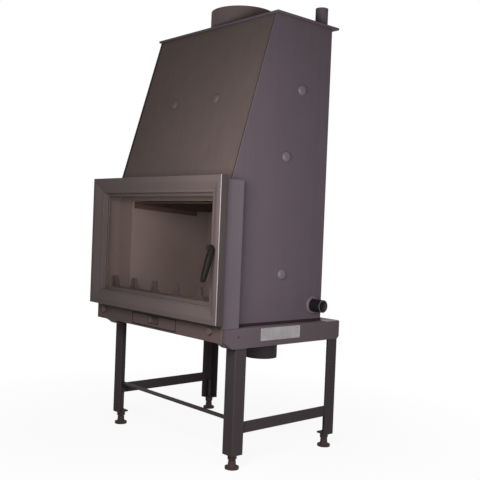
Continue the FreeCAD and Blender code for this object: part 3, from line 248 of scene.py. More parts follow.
class InsertSizes(bpy.types.PropertyGroup):
    head_radius: length("Stay head radius", "Radius of a stay's weld head", 0.0195)
    head_height: length("Stay head height", "Height of a stay's weld head", 0.0085)
    bead: length("Weld bead", "Radius of a weld bead", 0.0024)
    return_bead: length("Return weld", "Radius of the weld bead round the return pipe", 0.0075)
    ripple: length("Weld ripple", "Length of one ripple of a bead", 0.0032)
    rope_lay: length("Rope lay", "Length of one turn of the rope's strands", 0.030)
    rope_strands: number("Rope strands", "Strands of the sealing rope", 3)
    thread_pitch: length("Thread pitch", "Pitch of the foot screws", 0.002)
    thread_radius: length("Thread radius", "Radius over the thread of the foot screws", 0.0082)
    nut_radius: length("Nut radius", "Radius over the corners of the lock nuts", 0.0165)
    nut_height: length("Nut height", "Height of the lock nuts", 0.018)
    guard_posts: number("Guard posts", "Posts of the log guard", 6)
    guard_post: length("Guard post", "Width of a post of the log guard", 0.026)
    guard_end: length("Guard end", "From the end of the log guard to the middle of its last post", 0.0195)
    guard_band: length("Guard band", "Height of the bar under the posts", 0.056)
    guard_corner: length("Guard corner", "Radius at the foot of a post", 0.022)
    guard_tip: length("Guard tip", "Bevel at the tip of a post", 0.005)
    plate_length: length("Plate length", "Length of the bare plate on the right rail", 0.199)
    plate_height: length("Plate height", "Height of the bare plate on the right rail", 0.045)
    plate_thick: length("Plate thickness", "Thickness of the bare plate", 0.0010)
    rivet: length("Rivet radius", "Radius of the plate's rivets", 0.0024)


class InsertStage(bpy.types.PropertyGroup):
    lens: measure("Lens", "Focal length on a 36 mm sensor", 55.75, "CAMERA")
    eye: FloatVectorProperty(
        name="Eye",
        description="Place of the camera",
        subtype="TRANSLATION",
        size=3,
        default=(2.2759, FRONT_SHIFT - 1.6228, 0.8486),
    )
    yaw: measure("Yaw", "Turn of the camera to the left", 0.8422, "ROTATION")
    pitch: measure("Pitch", "Tilt of the camera upwards", -0.0198, "ROTATION")
    roll: measure("Roll", "Roll of the camera", 0.0399, "ROTATION")
    floor_half: length("Floor", "Half the side of the floor", 12.0)
    side_lamp: measure("Side lamp", "Power of the lamp on the right", 24.0, "POWER")
    front_lamp: measure("Front lamp", "Power of the lamp in front", 15.5, "POWER")
    sky: FloatProperty(
        name="Sky", description="Strength of the soft light from all round", min=0.0, default=0.14
    )


def plug(tree, node, inputs):
    """Links the inputs of a node to outputs, or gives them values."""
    for key, value in inputs.items():
        if isinstance(value, bpy.types.NodeSocket):
            tree.links.new(value, node.inputs[key])
        else:
            node.inputs[key].default_value = value
    return node


def add_node(tree, kind, inputs=None, **settings):
    """One shader node with its settings and its inputs."""
    made = tree.nodes.new(kind)
    for key, value in settings.items():
        setattr(made, key, value)
    return plug(tree, made, inputs or {})


def maths(tree, operation, *values):
    """Outcome of an operation on values."""
    return add_node(tree, "ShaderNodeMath", dict(enumerate(values)), operation=operation).outputs[0]


def vector_maths(tree, operation, *values):
    """Outcome of an operation on vectors."""
    made = add_node(tree, "ShaderNodeVectorMath", dict(enumerate(values)), operation=operation)
    return made.outputs["Value" if operation in ("LENGTH", "DOT_PRODUCT") else "Vector"]


def scaled(tree, value, factor, offset):
    """value times factor plus offset."""
    return maths(tree, "MULTIPLY_ADD", value, factor, offset)


def times(tree, first, second):
    """Product of two values."""
    return maths(tree, "MULTIPLY", first, second)


def noise(tree, vector, scale, detail, stretch=(1.0, 1.0, 1.0)):
    """Noise that can be drawn out along an axis."""
    mapping = add_node(tree, "ShaderNodeMapping", {"Vector": vector, "Scale": stretch})
    inputs = {"Vector": mapping.outputs["Vector"], "Scale": scale, "Detail": detail, "Roughness": 0.55}
    return add_node(tree, "ShaderNodeTexNoise", inputs).outputs["Fac"]


def shaded(tree, tint, value):
    """Colour made darker or lighter by a value."""
    return add_node(tree, "ShaderNodeVectorMath", {0: tint, "Scale": value}, operation="SCALE").outputs[0]


def blended(tree, mask, first, second):
    """First colour where the mask is 0, second where it is 1."""
    return add_node(tree, "ShaderNodeMix", {0: mask, 6: first, 7: second}, data_type="RGBA").outputs[2]


def tinted(tree, tint):
    """Plain colour as an output."""
    made = tree.nodes.new("ShaderNodeRGB")
    made.outputs[0].default_value = (*tint, 1.0)
    return made.outputs[0]


def mixed(tree, share, first, second):
    """First shader where the share is 0, second where it is 1."""
    return add_node(tree, "ShaderNodeMixShader", {"Fac": share, 1: first, 2: second}).outputs["Shader"]


def in_box(low, high):
    """Mask of a box that lies along the axes."""

    def mask(tree, where):
        away = vector_maths(tree, "ABSOLUTE", vector_maths(tree, "SUBTRACT", where, (low + high) / 2))
        past = vector_maths(tree, "SUBTRACT", away, (high - low) / 2)
        axes = add_node(tree, "ShaderNodeSeparateXYZ", {0: past}).outputs
        furthest = maths(tree, "MAXIMUM", maths(tree, "MAXIMUM", axes["X"], axes["Y"]), axes["Z"])
        return maths(tree, "LESS_THAN", furthest, 0.0)

    return mask


def in_bore(centre, radius):
    """Mask of a round bore along the X axis."""

    def mask(tree, where):
        away = vector_maths(tree, "SUBTRACT", where, centre)
        across = vector_maths(tree, "MULTIPLY", away, (0.0, 1.0, 1.0))
        return maths(tree, "LESS_THAN", vector_maths(tree, "LENGTH", across), radius)

    return mask


FLOAT = "NodeSocketFloat"
COLOUR = "NodeSocketColor"
VECTOR = "NodeSocketVector"


def new_group(name, inputs, outputs):
    """Empty shader group, the outputs of its start, and its end."""
    group = bpy.data.node_groups.new(name, "ShaderNodeTree")
    for way, sockets in (("INPUT", inputs), ("OUTPUT", outputs)):
        for label, kind in sockets.items():
            group.interface.new_socket(name=label, in_out=way, socket_type=kind)
    return group, group.nodes.new("NodeGroupInput").outputs, group.nodes.new("NodeGroupOutput")


def placed(tree, name, builder, inputs):
    """Outputs of a group in a tree; the group is built once and used by several materials."""
    group = bpy.data.node_groups.get(name) or builder(name)
    return add_node(tree, "ShaderNodeGroup", inputs, node_tree=group).outputs


def edge_group(name):
    """Softened normal at sharp edges and a mask of those edges."""
    group, start, end = new_group(name, {"Radius": FLOAT}, {"Mask": FLOAT, "Normal": VECTOR})
    soft = add_node(group, "ShaderNodeBevel", {"Radius": start["Radius"]}, samples=6).outputs["Normal"]
    plain = group.nodes.new("ShaderNodeNewGeometry").outputs["Normal"]
    bend = vector_maths(group, "DOT_PRODUCT", soft, plain)
    reach = {"Value": bend, "From Min": 0.995, "From Max": 0.80, "To Min": 0.0, "To Max": 1.0}
    mask = add_node(group, "ShaderNodeMapRange", reach).outputs["Result"]
    plug(group, end, {"Mask": mask, "Normal": soft})
    return group


PLAIN = {"Vector": VECTOR, "Tint": COLOUR}
SKIN = {"Colour": COLOUR, "Roughness": FLOAT, "Normal": VECTOR}


def bumped(tree, **inputs):
    """Normal of a surface with fine relief."""
    return add_node(tree, "ShaderNodeBump", inputs).outputs["Normal"]


def ended(group, end, tint, rough, normal):
    """Group whose three outputs are set."""
    plug(group, end, {"Colour": tint, "Roughness": rough, "Normal": normal})
    return group


def paint_group(name):
    """Matte sheet paint: clouds, faint upright streaks, fine grain, and sharp edges made lighter, partly as
    worn paint and partly as a painted highlight.
    """
    amounts = dict.fromkeys(("Cloud", "Streak", "Rub", "Dull", "Edge"), FLOAT)
    group, start, end = new_group(name, {**PLAIN, **amounts}, SKIN)
    where = start["Vector"]
    edges = placed(group, "Sheet edges", edge_group, {"Radius": start["Edge"]})
    cloud = scaled(group, noise(group, where, 4.0, 5.0), 2.0, -1.0)
    streak = scaled(group, noise(group, where, 1.0, 3.0, (45.0, 45.0, 1.6)), 2.0, -1.0)
    speckle = noise(group, where, 620.0, 2.0)
    clouds = times(group, cloud, start["Cloud"])
    shade = maths(group, "ADD", clouds, times(group, streak, start["Streak"]))
    level = maths(group, "ADD", scaled(group, shade, 1.0, 0.95), scaled(group, speckle, 0.14, -0.02))
    painted = shaded(group, start["Tint"], level)
    # Sharp edges lighter: partly worn paint, partly a painted highlight along the edges
    worn_and_lit = vector_maths(group, "MULTIPLY", painted, (1.75, 1.75, 1.75))
    edge_wear_and_glint = times(group, edges["Mask"], start["Rub"])
    patchy = times(group, edge_wear_and_glint, scaled(group, noise(group, where, 60.0, 3.0), 1.4, -0.1))
    rough = maths(group, "ADD", start["Dull"], scaled(group, cloud, 0.06, 0.0))
    normal = bumped(group, Strength=0.25, Distance=0.0004, Height=speckle, Normal=edges["Normal"])
    return ended(group, end, blended(group, patchy, painted, worn_and_lit), rough, normal)


def cast_group(name):
    """Rough casting skin with sooty hollows."""
    group, start, end = new_group(name, PLAIN, SKIN)
    edges = placed(group, "Sheet edges", edge_group, {"Radius": 0.002})
    lumps = noise(group, start["Vector"], 190.0, 4.0)
    soot = noise(group, start["Vector"], 9.0, 4.0)
    tint = shaded(group, start["Tint"], scaled(group, soot, 1.1, 0.45))
    normal = bumped(group, Strength=0.6, Distance=0.0009, Height=lumps, Normal=edges["Normal"])
    return ended(group, end, tint, scaled(group, lumps, 0.25, 0.55), normal)


def line_group(name):
    """Drawn metal with fine lines along the Y axis."""
    group, start, end = new_group(name, PLAIN, SKIN)
    lines = noise(group, start["Vector"], 1.0, 3.0, (900.0, 30.0, 900.0))
    stain = noise(group, start["Vector"], 22.0, 4.0)
    level = times(group, scaled(group, lines, 0.3, 0.85), scaled(group, stain, 0.7, 0.65))
    tint = shaded(group, start["Tint"], level)
    normal = bumped(group, Strength=0.15, Distance=0.0003, Height=lines)
    return ended(group, end, tint, scaled(group, stain, 0.3, 0.25), normal)


def fibre_group(name):
    """Spun fibre: fine hairs and a mottled soot colour."""
    group, start, end = new_group(name, PLAIN, SKIN)
    hairs = noise(group, start["Vector"], 1400.0, 3.0)
    soot = noise(group, start["Vector"], 30.0, 4.0)
    level = times(group, scaled(group, hairs, 1.0, 0.5), scaled(group, soot, 0.9, 0.55))
    normal = bumped(group, Strength=0.6, Distance=0.0006, Height=hairs)
    return ended(group, end, shaded(group, start["Tint"], level), 0.9, normal)


def new_material(name):
    """Material with its tree, its shader and the object coordinates."""
    material = bpy.data.materials.new(name)
    material.use_nodes = True
    tree = material.node_tree
    where = tree.nodes.new("ShaderNodeTexCoord").outputs["Object"]
    return material, tree, tree.nodes["Principled BSDF"], where


def coated(tree, shader, skin, values):
    """Feeds a shader from the outputs of a group, and gives it other values."""
    inputs = {"Base Color": skin["Colour"], "Roughness": skin["Roughness"], "Normal": skin["Normal"]}
    plug(tree, shader, {**inputs, **values})


def painted_steel(
    name, tint, patches=(), cloud=0.16, streak=0.05, wear_and_highlight=0.5, dull=0.62, gloss=0.12, edge=0.0016
):
    """Matte paint on steel sheet, with other colours where the masks of the patches are."""
    material, tree, shader, where = new_material(name)
    paint = tinted(tree, tint) if patches else (*tint, 1.0)
    for mask, patch in patches:
        paint = blended(tree, mask(tree, where), paint, tinted(tree, patch))
    amounts = {"Cloud": cloud, "Streak": streak, "Rub": wear_and_highlight, "Dull": dull, "Edge": edge}
    skin = placed(tree, "Matte paint", paint_group, {"Vector": where, "Tint": paint, **amounts})
    coated(tree, shader, skin, {"Specular IOR Level": gloss})
    return material


def skinned(name, tint, group, builder, values):
    """Material whose look comes from a shared group."""
    material, tree, shader, where = new_material(name)
    skin = placed(tree, group, builder, {"Vector": where, "Tint": (*tint, 1.0)})
    coated(tree, shader, skin, values)
    return material


def cast_iron(name, tint):
    """Raw casting blackened by soot."""
    return skinned(name, tint, "Casting skin", cast_group, {"Specular IOR Level": 0.05})


def lined_metal(name, tint):
    """Bare metal with fine drawn lines."""
    return skinned(name, tint, "Fine lines", line_group, {"Metallic": 0.8})


def spun_fibre(name, tint):
    """Dark glass fibre of the seals."""
    return skinned(name, tint, "Spun fibre", fibre_group, {"Sheen Weight": 0.2})


def gloss_black(name, tint):
    """Glossy black moulding with slight wipe marks."""
    material, tree, shader, where = new_material(name)
    marks = noise(tree, where, 70.0, 4.0, (1.0, 1.0, 0.3))
    finish = {
        "Base Color": shaded(tree, tinted(tree, tint), scaled(tree, marks, 0.8, 0.6)),
        "Roughness": scaled(tree, marks, 0.25, 0.22),
        "Specular IOR Level": 0.03,
    }
    plug(tree, shader, finish)
    return material


def clear_glass(name, tint):
    """Clear ceramic glass with faint wipe marks, which lets lamp light and soft light straight through."""
    material, tree, shader, where = new_material(name)
    marks = noise(tree, where, 7.0, 5.0, (1.0, 1.0, 2.5))
    finish = {
        "Base Color": (*tint, 1.0),
        "Roughness": scaled(tree, marks, 0.01, 0.0),
        "Transmission Weight": 1.0,
        "IOR": 1.06,
    }
    plug(tree, shader, finish)
    ray = tree.nodes.new("ShaderNodeLightPath").outputs
    through = maths(tree, "MAXIMUM", ray["Is Shadow Ray"], ray["Is Diffuse Ray"])
    clear = add_node(tree, "ShaderNodeBsdfTransparent", {"Color": (*tint, 1.0)})
    surface = mixed(tree, through, shader.outputs["BSDF"], clear.outputs["BSDF"])
    plug(tree, tree.nodes["Material Output"], {"Surface": surface})
    return material


def dress(material, *nodes):
    """Puts one material on several CAD nodes."""
    for node in nodes:
        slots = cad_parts[node].data.materials
        slots.clear()
        slots.append(material)


def linked(name, data):
    """New object in the scene."""
    made = bpy.data.objects.new(name, data)
    bpy.context.scene.collection.objects.link(made)
    return made


def meshed(name, bm, material):
    """Object of a finished bmesh with one material."""
    mesh = bpy.data.meshes.new(name)
    bm.to_mesh(mesh)
    bm.free()
    mesh.materials.append(material)
    return linked(name, mesh)


def new_piece(name, bm, body, material, smooth=True):
    """Makes an object of a finished bmesh, rides it on a body and gives it its finish."""
    bmesh.ops.recalc_face_normals(bm, faces=bm.faces)
    for face in bm.faces:
        face.smooth = smooth
    for edge in bm.edges:
        edge.smooth = edge.calc_face_angle(0.0) < SHARP_TURN
    piece = meshed(name, bm, material)
    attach(piece, body)
    return piece


def points_of(made):
    """Vertices among the parts that an operator made."""
    return [item for item in made["geom"] if isinstance(item, bmesh.types.BMVert)]


def rounded(bm, edges, radius, steps):
    """Round bevel along some edges."""
    bmesh.ops.bevel(
        bm, geom=edges, offset=radius, affect="EDGES", segments=steps, profile=0.5, material=-1
    )


def turned(bm, profile, place, steps):
    """Turns a run of (radius, height) points about the Z axis of a place."""
    before = set(bm.verts)
    verts = [bm.verts.new((radius, 0.0, height)) for radius, height in profile]
    edges = [bm.edges.new(pair) for pair in zip(verts, verts[1:])]
    about = {"cent": (0, 0, 0), "axis": (0, 0, 1), "dvec": (0, 0, 0)}
    bmesh.ops.spin(bm, geom=verts + edges, **about, angle=2 * math.pi, steps=steps, use_merge=True)
    made = [vert for vert in bm.verts if vert not in before]
    bmesh.ops.remove_doubles(bm, verts=made, dist=TOUCH)
    made = [vert for vert in bm.verts if vert not in before]
    bmesh.ops.transform(bm, matrix=place, verts=made)


def dome(radius, height, sink, curve):
    """Profile of a low head with a flat back, from a curve in shares of its radius and height."""
    return [(0.0, -sink), (radius, -sink), *((radius * wide, height * tall) for wide, tall in curve)]


def swept(bm, profile, frames, closed=False):
    """Carries a closed outline of (x, y) points through a run of frames by extruding it."""
    verts = [bm.verts.new(frames[0] @ Vector((x, y, 0.0))) for x, y in profile]
    edges = [bm.edges.new((verts[spot - 1], verts[spot])) for spot in range(len(verts))]
    first = edges
    for before, after in zip(frames, frames[1:]):
        made = bmesh.ops.extrude_edge_only(bm, edges=edges)
        fresh = points_of(made)
        lines = [item for item in made["geom"] if isinstance(item, bmesh.types.BMEdge)]
        edges = [line for line in lines if set(fresh).issuperset(line.verts)]
        bmesh.ops.transform(bm, matrix=after @ before.inverted(), verts=fresh)
    if closed:
        bmesh.ops.bridge_loops(bm, edges=first + edges)
    else:
        bmesh.ops.edgeloop_fill(bm, edges=first)
        bmesh.ops.edgeloop_fill(bm, edges=edges)


def circle(radius, count):
    """Points of a round outline."""
    turns = [2 * math.pi * spot / count for spot in range(count)]
    return [(radius * math.cos(turn), radius * math.sin(turn)) for turn in turns]


def aimed(point, direction):
    """Frame at a point whose Z axis runs along a direction."""
    return Matrix.Translation(point) @ Vector(direction).to_track_quat("Z", "Y").to_matrix().to_4x4()


def rippled(frames):
    """Draws in every second frame, as between the ripples of a bead."""
    grown = []
    for spot, place in enumerate(frames):
        size = 1.0 if spot % 2 else RIPPLE_WAIST
        grown.append(place @ Matrix.Scale(size, 4, (1, 0, 0)) @ Matrix.Scale(size, 4, (0, 1, 0)))
    return grown


def straight_bead(bm, start, end, radius, ripple):
    """Weld bead along a straight joint, drawn in at both ends."""
    start, end = Vector(start), Vector(end)
    run = end - start
    count = max(4, 2 * round(run.length / ripple))
    frames = rippled([aimed(start + run * spot / count, run) for spot in range(count + 1)])
    for tip in (0, -1):
        frames[tip] = frames[tip] @ Matrix.Scale(BEAD_TIP, 4)
    swept(bm, circle(radius, BEAD_SIDES), frames)


def round_bead(bm, centre, axis, ring, radius, ripple):
    """Weld bead round a pipe."""
    count = 2 * round(math.pi * ring / ripple)
    base = aimed(centre, axis)
    frames = []
    for spot in range(count):
        out = base @ Matrix.Rotation(2 * math.pi * spot / count, 4, "Z") @ Matrix.Translation((ring, 0, 0))
        frames.append(out @ Matrix.Rotation(-math.pi / 2, 4, "X"))
    swept(bm, circle(radius, BEAD_SIDES), rippled(frames), closed=True)


class INSERT_OT_body_finish(bpy.types.Operator):
    """Paint on the outer sheets, brown-grey steel inside"""

    bl_idname = "insert.body_finish"
    bl_label = "Body and firebox finish"

    def execute(self, context):
        tints = context.scene.insert_colours
        skin = 0.001
        wall = 0.002
        dress(painted_steel("body_paint", tints.body, streak=0.07, wear_and_highlight=0.9, edge=0.003), *BODY_NODES)
        dress(painted_steel("slope_paint", tints.slope, streak=0.09, gloss=0.06), "slope_panel")
        # Painted light and shade: the inner faces of the mouth sides take the firebox-top colour
        inside = in_box(Vector((-MOUTH_LINING, -FAR, 0)), Vector((MOUTH_LINING, FAR, 2 * FAR)))
        mouth_inner_lit_and_shaded = [(inside, tints.firebox_top_lit_and_shaded)]
        mouth = painted_steel("mouth_paint", tints.mouth, mouth_inner_lit_and_shaded, streak=0.07, wear_and_highlight=0.9, edge=0.003)
        dress(mouth, *MOUTH_NODES)
        dress(painted_steel("collar_paint", tints.collar), "flue_collar")
        # Painted light: the firebox pieces get steel painted lighter, against the shade inside
        firebox = painted_steel("firebox_skin", tints.firebox, cloud=0.22, wear_and_highlight=0.25, gloss=0.02)
        dress(firebox, *FIREBOX_NODES, *FIREBOX_WALLS)
        dress(painted_steel("smoked_skin", tints.firebox_top_lit_and_shaded, cloud=0.3, wear_and_highlight=0.1, gloss=0.02), *FIREBOX_TOP_NODES)
        axis = (RETURN_LOW + RETURN_HIGH) / 2
        pipe = (RETURN_HIGH.y - RETURN_LOW.y) / 2
        cut = in_box(Vector((RETURN_HIGH.x - skin, -FAR, 0)), Vector((FAR, FAR, 2 * FAR)))
        ends = [(cut, tints.cut), (in_bore(axis, pipe - wall), tints.bore)]
        dress(painted_steel("pipe_black", tints.socket, ends, wear_and_highlight=0.3, dull=0.35), "return_pipe")
        # Painted shade: the baffle is painted deep brown for the shadow under it
        dress(painted_steel("soot_skin", tints.soot, cloud=0.3, wear_and_highlight=0.0, dull=0.8, gloss=0.0), "baffle")
        # Painted reflection: the shelf top behind the body, on the base plate and the rails, gets the light
        # shelf colour
        behind = in_box(Vector((-FAR, BODY_HIGH.y, RAIL_HIGH.z - skin)), Vector((FAR, FAR, FAR)))
        shelf = [(behind, tints.shelf)]
        # Painted shade: the base plate is painted near-black for the shadow band under the body, with a
        # painted reflection on the shelf behind it
        dress(painted_steel("base_paint", tints.seam, shelf, wear_and_highlight=0.0), "base_plate")
        dress(painted_steel("rail_paint", tints.rail, shelf, wear_and_highlight=0.8, edge=0.003), *RAIL_NODES)
        dress(cast_iron("cast_iron", tints.iron), "grate", "log_guard")
        return {"FINISHED"}


class INSERT_OT_stand_finish(bpy.types.Operator):
    """Dark paint on the stand, the front plate and the drawer; zinc on the small slides"""

    bl_idname = "insert.stand_finish"
    bl_label = "Stand finish"

    def execute(self, context):
        tints = context.scene.insert_colours
        legs = ["leg_" + corner for corner in CORNERS]
        feet = ["foot_" + corner for corner in CORNERS]
        # Painted shade in part: the stand paint on legs and bars is darkened for the shade under the body
        dress(painted_steel("stand_paint", tints.stand, wear_and_highlight=0.7, gloss=0.08), *STAND_NODES, *legs)
        dress(painted_steel("foot_paint", tints.foot, wear_and_highlight=0.7), *feet)
        # Painted shade: blackish outlines round the drawer and its pull stand in for the shadow in their
        # gaps, and the inside of the pull is painted lighter against its shade
        gap = Vector((0.003, 0.01, 0.003))
        rim = Vector((0.0015, -0.01, 0.0015))
        painted_gap_shade = [
            (in_box(DRAWER_LOW - gap, DRAWER_HIGH + gap), tints.seam),
            (in_box(DRAWER_LOW + rim, DRAWER_HIGH - rim), tints.front),
            (in_box(PULL_LOW - 1.3 * gap, PULL_HIGH + 1.3 * gap), tints.seam),
            (in_box(PULL_LOW, PULL_HIGH), tints.pull),
        ]
        dress(painted_steel("front_paint", tints.front, painted_gap_shade, cloud=0.10), "apron", "ash_drawer")
        dress(painted_steel("knob_paint", tints.front, dull=0.4), "air_knob_left", "air_knob_right")
        dress(lined_metal("dull_zinc", tints.zinc), *ZINC_NODES)
        return {"FINISHED"}


class INSERT_OT_door_finish(bpy.types.Operator):
    """Paint on the door frame, clear glass and blackened handle steel"""

    bl_idname = "insert.door_finish"
    bl_label = "Door finish"

    def execute(self, context):
        tints = context.scene.insert_colours
        rim = Vector((0.001, -0.01, 0.001))
        # Painted highlight down the right edge of the door's front; the outer side faces keep the darker
        # painted shade
        highlight_low = Vector((DOOR_HIGH.x - 0.003, DOOR_LOW.y - 0.01, DOOR_LOW.z + 0.004))
        highlight_high = Vector((FAR, DOOR_LOW.y + 0.001, DOOR_HIGH.z))
        front = [
            (in_box(DOOR_LOW + rim, DOOR_HIGH - rim), tints.door),
            (in_box(highlight_low, highlight_high), tints.door_right_highlight),
        ]
        coat = painted_steel(
            "door_paint", tints.door_side_shade, front, streak=0.02, wear_and_highlight=0.9, dull=0.42, gloss=0.06, edge=0.004
        )
        dress(coat, "door_frame")
        dress(clear_glass("ceramic_glass", tints.glass), "door_glass")
        dress(painted_steel("black_steel", tints.socket, wear_and_highlight=0.6, dull=0.35), "handle_lever", "latch_spindle")
        return {"FINISHED"}


class INSERT_OT_stay_heads(bpy.types.Operator):
    """Domed weld heads over the stays of the water jacket"""

    bl_idname = "insert.stay_heads"
    bl_label = "Stay heads"

    def execute(self, context):
        sizes = context.scene.insert_sizes
        # Painted highlight: stay heads on the sides and back are painted lighter than the body
        paint = painted_steel("head_paint", context.scene.insert_colours.head, dull=0.4, gloss=0.3)
        profile = dome(sizes.head_radius, sizes.head_height, HEAD_SINK, HEAD_CURVE)
        spread = (-HEAD_SPREAD, HEAD_SPREAD)
        slant = math.hypot(1.0, SLOPE_LEAN)
        climb = (SLOPE_HEAD_Z - SLOPE_FOOT_Z) * SLOPE_LEAN
        slope_y = SLOPE_FOOT_Y + climb + SLOPE_RECESS * slant + FRONT_SHIFT
        outward = Vector((0, -1, SLOPE_LEAN)).normalized()
        sides = [
            aimed((way * PANEL_FACE, y + FRONT_SHIFT, z), (way, 0, 0))
            for y, z in SIDE_HEADS
            for way in (-1, 1)
        ]
        slope = [aimed((x, slope_y, SLOPE_HEAD_Z), outward) for x in spread]
        back = [aimed((x, BODY_HIGH.y, z), (0, 1, 0)) for x in spread for _, z in SIDE_HEADS]
        for name, places, material in (
            ("stay_heads_sides", sides, paint),
            ("stay_heads_slope", slope, bpy.data.materials["slope_paint"]),
            ("stay_heads_back", back, paint),
        ):
            bm = bmesh.new()
            for place in places:
                turned(bm, profile, place, HEAD_STEPS)
            new_piece(name, bm, "insert", material)
        return {"FINISHED"}


class INSERT_OT_welds(bpy.types.Operator):
    """Weld beads on pipes, collar, body corners and legs, and beads of painted shade along the seams between
    the sheets
    """

    bl_idname = "insert.welds"
    bl_label = "Weld beads"

    def execute(self, context):
        sizes = context.scene.insert_sizes
        tints = context.scene.insert_colours
        bead, ripple = sizes.bead, sizes.ripple
        material = painted_steel("weld_paint", tints.weld, cloud=0.3, streak=0.0, wear_and_highlight=0.0, dull=0.42)
        pipes = bmesh.new()
        for low, high in ((FLUE_LOW, FLUE_HIGH), (FLOW_LOW, FLOW_HIGH)):
            middle = (low + high) / 2
            ring = (high.x - low.x) / 2
            round_bead(pipes, (middle.x, middle.y, TOP_HIGH.z), (0, 0, 1), ring, bead, ripple)
        middle = (RETURN_LOW + RETURN_HIGH) / 2
        fat = sizes.return_bead
        ring = (RETURN_HIGH.y - RETURN_LOW.y) / 2 + 0.6 * fat
        round_bead(pipes, (RETURN_LOW.x, middle.y, middle.z), (1, 0, 0), ring, fat, 2 * ripple)
        new_piece("weld_pipes", pipes, "insert", material)

        foot = SIDE_LOW.z
        mouth_y, mouth_z = MOUTH_HIGH.y, MOUTH_HIGH.z
        body = bmesh.new()
        for way in (-1, 1):
            x = way * PANEL_FACE
            tack = (x, mouth_y + TACK_START, foot), (x, mouth_y + TACK_END, foot)
            straight_bead(body, *tack, 1.3 * bead, ripple)
            x -= way * STITCH_INSET
            for stitch in range(STITCHES):
                z = foot + STITCH_START + stitch * STITCH_PITCH
                ends = (x, SIDE_HIGH.y, z), (x, SIDE_HIGH.y, z + STITCH_LENGTH)
                straight_bead(body, *ends, bead, ripple)
        new_piece("weld_body", body, "insert", material)

        # Painted shade: near-black beads along the slope's edges, the body's foot and the mouth's corners,
        # where shadow lines fall between the sheets
        slope_y = SLOPE_FOOT_Y + FRONT_SHIFT + SLOPE_RECESS
        rise = BODY_HIGH.z - SLOPE_FOOT_Z
        seams = bmesh.new()
        for way in (-1, 1):
            x = way * (PANEL_FACE - SLOPE_SEAM_INSET)
            low = (x, slope_y, SLOPE_FOOT_Z + bead)
            high = (x, slope_y + SLOPE_LEAN * rise, BODY_HIGH.z)
            straight_bead(seams, low, high, 1.4 * bead, ripple)
            x = way * PANEL_FACE
            front = (x, mouth_y + FOOT_SEAM_START, foot)
            straight_bead(seams, front, (x, BODY_HIGH.y, foot), 0.8 * bead, ripple)
            corner = (x, mouth_y, mouth_z)
            straight_bead(seams, (x, mouth_y, foot), corner, bead, ripple)
            straight_bead(seams, corner, (way * MOUTH_HIGH.x, mouth_y, mouth_z), bead, ripple)
        painted_gap_shade = painted_steel("seam_paint", tints.seam, wear_and_highlight=0.0, dull=0.7)
        new_piece("weld_seams", seams, "insert", painted_gap_shade)

        stand = bmesh.new()
        for corner in CORNERS:
            low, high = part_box("leg_" + corner)
            x = high.x if corner.endswith("right") else low.x
            front = (x, low.y + LEG_BEAD_INSET, RAIL_LOW.z)
            rear = (x, high.y - LEG_BEAD_INSET, RAIL_LOW.z)
            straight_bead(stand, front, rear, 0.8 * bead, ripple)
        new_piece("weld_stand", stand, "insert", material)
        return {"FINISHED"}


class INSERT_OT_rope(bpy.types.Operator):
    """Twisted fibre rope in the groove of the door"""

    bl_idname = "insert.rope"
    bl_label = "Sealing rope"

    def execute(self, context):
        sizes = context.scene.insert_sizes
        tints = context.scene.insert_colours
        strands = sizes.rope_strands
        middle_y = ROPE_HIGH.y - ROPE_RADIUS
        left, right = ROPE_LOW.x + ROPE_RADIUS + ROPE_BEND, ROPE_HIGH.x - ROPE_RADIUS - ROPE_BEND
        low, high = ROPE_LOW.z + ROPE_RADIUS + ROPE_BEND, ROPE_HIGH.z - ROPE_RADIUS - ROPE_BEND
        stops = []
        for quarter, (x, z) in enumerate(((right, low), (right, high), (left, high), (left, low))):
            for spot in range(BEND_STEPS + 1):
                angle = (quarter - 1 + spot / BEND_STEPS) * math.pi / 2
                out, up = ROPE_BEND * math.cos(angle), ROPE_BEND * math.sin(angle)
                stops.append(Vector((x + out, middle_y, z + up)))
        step = sizes.rope_lay / LAY_STEPS
        path = []
        for here, there in zip(stops, stops[1:] + stops[:1]):
            count = max(1, round((there - here).length / step))
            path += [here + (there - here) * spot / count for spot in range(count)]
        inward = Vector((0, 1, 0))
        frames = []
        for spot, point in enumerate(path):
            ahead = path[(spot + 1) % len(path)] - path[spot - 1]
            across = ahead.normalized().cross(inward)
            place = Matrix((across, inward, across.cross(inward))).transposed().to_4x4()
            place.translation = point
            frames.append(place @ Matrix.Rotation(spot * 2 * math.pi / LAY_STEPS, 4, "Z"))
        outline = []
        for x, y in circle(ROPE_RADIUS, LOBE_POINTS * strands):
            swell = abs(math.cos(0.5 * strands * math.atan2(y, x)))
            lobe = LOBE_WAIST + (1.0 - LOBE_WAIST) * swell
            outline.append((lobe * x, lobe * y))
        bm = bmesh.new()
        swept(bm, outline, frames, closed=True)
        rope = new_piece("sealing_rope", bm, "door", spun_fibre("seal_fibre", tints.seal))
        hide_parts("door_rope")
        return {"FINISHED"}


